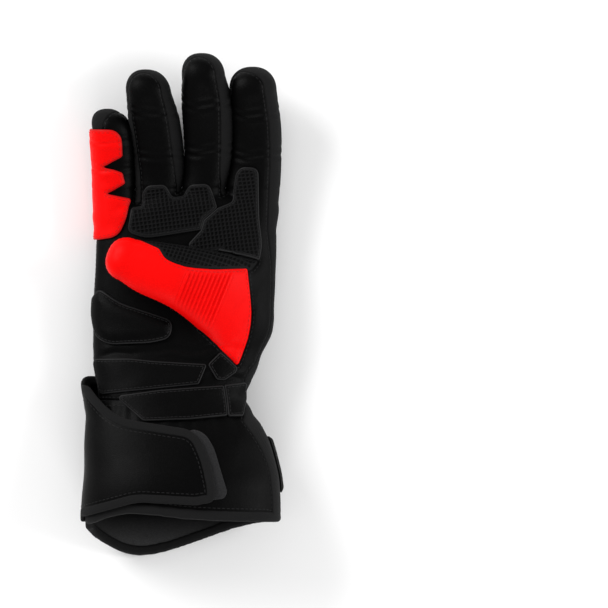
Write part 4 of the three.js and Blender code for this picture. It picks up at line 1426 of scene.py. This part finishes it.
def ribs(shape, depth):
    """Stretch ribs across the thumb."""
    along, side = off_thumb_middle(shape)
    across = side / smooth(THUMB, "along", along, "width")
    place = (along - RIB_FIRST) / RIB_PITCH
    fade = np.maximum(0, 1 - (np.abs(across) / RIB_FADE) ** 4)
    ends = ramp(place, 0, 1) * ramp(-place, -RIB_COUNT, 1 - RIB_COUNT)
    raised = np.abs(np.cos(math.pi * place)) ** 1.4 * 2 - 1
    rise = RIB_RISE * raised * fade * ends * ramp(depth, *RIB_EDGE)
    return rise, np.zeros(len(rise))


def flat_place(shape):
    """The place in a grid that lies flat on the palm."""
    c, s = math.cos(DIMPLE_TURN), math.sin(DIMPLE_TURN)
    return shape.x * c + shape.y * s, shape.y * c - shape.x * s


def thumb_round(shape):
    """The place in a grid that is wound round the thumb."""
    along, side = off_thumb_middle(shape)
    return along, np.arctan2(side, over_thumb_axis(shape)) * DIMPLE_ROUND


def dimples(shape, depth, place=flat_place):
    """A grid of dimples inside a plain border."""
    u, v = (each / DIMPLE_PITCH for each in place(shape))
    near = ((u - np.round(u)) ** 4 + (v - np.round(v)) ** 4) ** 0.25 * DIMPLE_PITCH
    hole = ramp(-near, -DIMPLE_HALF - DIMPLE_WALL, -DIMPLE_HALF + DIMPLE_WALL)
    hole = hole * ramp(depth, *GRIP_BORDER)
    # The second value marks the dimples for the painted shade in the grip's material.
    return -DIMPLE_DEPTH * hole, hole


def crowned(height, slope):
    """A pad that rises roundly from its edge."""
    def rise(shape, depth):
        low = 1 - np.clip(depth / slope, 0, 1)
        return height * (1 - low ** 2.5), np.zeros(len(depth))

    return rise


# The glove

skin = glove_skin()
calm_skin = rested(worn(skin, 0.0))  # for what is too stiff to fold
calm_skin.values = {**skin.values, "normal": calm_skin.normals()}
skin = rested(worn(skin))
skin.values["normal"] = skin.normals()


def flap_skin():
    """The flap's own surface, which stands off the wrist."""
    ys = np.arange(*FLAP_RANGE, 1.0)
    turn = np.linspace(0, 2 * math.pi, FLAP_SIDES, endpoint=False)
    left = smooth(HAND, "y", ys, "left") - smooth(FLAP_STAND, "y", ys, "off") - FLAP_LIFT
    right = smooth(HAND, "y", ys, "right") + FLAP_LIFT
    half = smooth(HAND, "y", ys, "half") + FLAP_LIFT
    power = (2 / smooth(HAND, "y", ys, "power"))[:, None]
    c, s = np.cos(turn)[None], np.sin(turn)[None]
    middle, wide = (left + right)[:, None] / 2, (right - left)[:, None] / 2
    x = middle + wide * np.sign(c) * np.abs(c) ** power
    h = half[:, None] * np.sign(s) * np.abs(s) ** power
    y = np.broadcast_to(ys[:, None], x.shape)
    points = np.stack((x, y, h), axis=2).reshape(-1, 3)
    n = len(turn)
    i, j = np.meshgrid(np.arange(len(ys) - 1), np.arange(n), indexing="ij")
    a = (i * n + j).ravel()
    b = (i * n + (j + 1) % n).ravel()
    triangles = np.concatenate((
        np.column_stack((a, b, b + n)), np.column_stack((a, b + n, a + n))))
    surface = Surface(points, triangles)
    if (surface.normals()[:, 2] * points[:, 2]).sum() < 0:
        surface.triangles = triangles[:, ::-1]
    surface.values["normal"] = surface.normals()
    surface.points = points + surface.values["normal"] * cuff_sag(points)[:, None]
    surface.values = {"normal": surface.normals(), "home": points, "seen": points[:, :2]}
    return surface


flap_surface = flap_skin()


def hand_pieces():
    wall = {"edge": THIN_EDGE, "dip": 0.25}
    # The dimple mark carries painted shade into the grip's colour.
    dimpled = {"relief": dimples, "fine": 2, "field": "dimple"}
    piece("palm", "palm_panel", "black_leather", skin, palm, -LEATHER, 0, [BLACK])
    piece("back_of_hand", "back_panel", "black_leather", skin, back_of_hand, -LEATHER, 0, [BLACK])
    for name, region in (
            ("index", index_wall), ("middle", lambda s: finger_wall(s, "middle")),
            ("ring", lambda s: finger_wall(s, "ring")), ("little", little_wall)):
        piece(f"{name}_side", f"{name}_gusset", "grey_cloth", skin, region, -LEATHER, 0, [GREY],
              **wall)
    piece("thumb_red", "thumb_back", "red_leather", skin, thumb_back, -LEATHER, THUMB_PROUD, [RED],
          relief=ribs, fine=1)
    piece("thumb_grip", "thumb_grip_strip", "grip", skin, thumb_grip, -LEATHER, 0, [GRIP],
          **{**dimpled, "relief": lambda s, depth: dimples(s, depth, thumb_round)})
    piece("thumb_under", "thumb_underside", "black_leather", skin, thumb_underside, -LEATHER, 0,
          [BLACK])
    for name, region in (("palm_grip", on_front(PALM_GRIP)), ("index_grip", index_grip)):
        piece(name, f"{name}_patch", "grip", calm_skin, region, ON_TOP, PATCH, [GRIP, EDGE],
              edge=CUT_EDGE, folded=False, dip=0.1, **dimpled)
    guard_shape = outline(GUARD_OUTLINE)
    piece("finger_guard", "little_finger_guard", "red_leather", skin,
          lambda s: least(guard_shape(s), s.h + GUARD_WRAP, finger_side(s, "little")),
          ON_TOP, GUARD, [RED, RED_EDGE], fine=1)


def sewn_on(name, node, slot, surface, region, top, materials, **looks):
    """A piece with a cut edge that lies on the leather."""
    return piece(name, node, slot, surface, region, ON_TOP, top, materials, edge=CUT_EDGE,
                 folded=False, fine=1, **looks)


def wrist_pieces():
    crown = crowned(HEEL_CROWN - HEEL_EDGE, HEEL_SLOPE)
    pad = sewn_on("heel_pad", "palm_heel_pad", "black_leather", calm_skin, on_front(HEEL_OUTLINE),
                  HEEL_EDGE, [BLACK, EDGE], dip=0, relief=crown)
    for name, node, corners, top in (
            ("wrist_patch", "wrist_panel", WRIST_OUTLINE, THIN_PANEL),
            ("tab", "thumb_tab", TAB_OUTLINE, THIN_PANEL),
            ("strap", "wrist_strap", STRAP_OUTLINE, STRAP),
            ("strap_block", "strap_anchor", ANCHOR_OUTLINE, STRAP)):
        sewn_on(name, node, "black_leather", calm_skin, on_front(corners), top, [BLACK, EDGE],
                dip=0.15)


def cuff_pieces():
    under = -LEATHER - GAP
    piece("cuff_top", "cuff_front_panel", "black_leather", skin, cuff_front, -LEATHER, 0, [BLACK])
    piece("cuff_bottom", "cuff_back_panel", "black_leather", skin, cuff_back, -LEATHER, 0, [BLACK])
    piece("side_tape", "side_binding", "grey_cloth", skin, side_tape, under, TAPE_PROUD, [TAPE],
          dip=0.2)
    piece("hem_tape", "hem_binding", "grey_cloth", calm_skin, hem_tape, -HEM_DEPTH, TAPE_PROUD,
          [TAPE], edge=HEM_EDGE, dip=0.2)
    piece("lining", "cuff_lining", "lining", skin, lining, under - LINING, under, [LINING_KNIT_PAINTED_SHADE],
          edge=THIN_EDGE, dip=0)
    sewn_on("closure", "closure_strip", "hook_and_loop", skin, on_front(CLOSURE_OUTLINE), CLOSURE,
            [PILE], dip=0)
    piece("flap_leather", "cuff_flap", "black_leather", flap_surface, flap_inner, -FLAP_LEATHER, 0,
          [BLACK])
    piece("flap_tape", "flap_binding", "grey_cloth", flap_surface, flap_tape, -FLAP_TAPE_DEPTH,
          FLAP_TAPE_PROUD, [TAPE], edge=FLAP_TAPE_EDGE, dip=0.1)
    pad = sewn_on("cuff_pad", "cuff_back_pad", "black_leather", skin, back_pad, BACK_PAD_EDGE,
                  [BLACK], dip=0, relief=crowned(BACK_PAD - BACK_PAD_EDGE, BACK_PAD_SLOPE))


hand_pieces()
wrist_pieces()
cuff_pieces()

plain = (STITCH_INSET, STITCH_PITCH)
tucked = (STITCH_INSET + TUCK, STITCH_PITCH)
for kind, (inset, pitch), names in (
        ("black", plain, ("palm", "back_of_hand")),
        ("black", tucked, ("flap_leather", "cuff_top", "cuff_bottom")),
        ("black", GRIP_STITCH, ("palm_grip", "index_grip")),
        ("black", STRAP_STITCH, ("heel_pad", "wrist_patch", "tab", "strap", "strap_block")),
        ("red", plain, ("finger_guard", "thumb_red"))):
    for name in names:
        stitch(kind, name, inset, pitch)
sew("black", THREAD)
sew("red", RED_THREAD)


# The room: a pale floor, soft light, and a camera straight above, as in the photograph

def area(name, place, aim, size, power):
    light = bpy.data.lights.new(name, "AREA")
    light.shape = "RECTANGLE"
    light.size, light.size_y = size
    light.energy = power
    obj = bpy.data.objects.new(name, light)
    obj.location = place
    obj.rotation_euler = (Vector(aim) - Vector(place)).to_track_quat("-Z", "Y").to_euler()
    bpy.context.scene.collection.objects.link(obj)


def pale_floor():
    mesh = bpy.data.meshes.new("floor")
    reach = FLOOR_REACH
    mesh.from_pydata(
        [(-reach, -reach, 0), (reach, -reach, 0), (reach, reach, 0), (-reach, reach, 0)], [],
        [(0, 1, 2, 3)])
    mesh.materials.append(Nodes("floor", (0.95, 0.95, 0.95), 0.9, 0.1).material)
    obj = bpy.data.objects.new("floor", mesh)
    obj.location.z = -FLOOR_DROP
    bpy.context.scene.collection.objects.link(obj)


def soft_world():
    """Even light from all round. The camera sees it as pale as the floor, past the floor."""
    world = bpy.data.worlds.new("studio")
    world.use_nodes = True
    tree = world.node_tree
    light = tree.nodes["Background"]
    pale = tree.nodes.new("ShaderNodeBackground")
    for background, strength in ((light, ROOM_LIGHT), (pale, 1.0)):
        background.inputs["Color"].default_value = (1, 1, 1, 1)
        background.inputs["Strength"].default_value = strength
    path = tree.nodes.new("ShaderNodeLightPath")
    either = tree.nodes.new("ShaderNodeMixShader")
    for i, output in enumerate((path.outputs["Is Camera Ray"], light.outputs[0], pale.outputs[0])):
        tree.links.new(output, either.inputs[i])
    tree.links.new(either.outputs[0], tree.nodes["World Output"].inputs["Surface"])
    bpy.context.scene.world = world


def camera_above():
    camera = bpy.data.cameras.new("camera")
    camera.type = "ORTHO"
    camera.ortho_scale = PHOTO_WIDTH * MM
    eye = bpy.data.objects.new("camera", camera)
    eye.location = (PHOTO_CENTRE[0] * MM, PHOTO_CENTRE[1] * MM, CAMERA_HEIGHT)
    bpy.context.scene.collection.objects.link(eye)
    bpy.context.scene.camera = eye


pale_floor()
for each in LIGHTS:
    area(*each)
soft_world()
bpy.context.scene.view_settings.view_transform = "Standard"
camera_above()
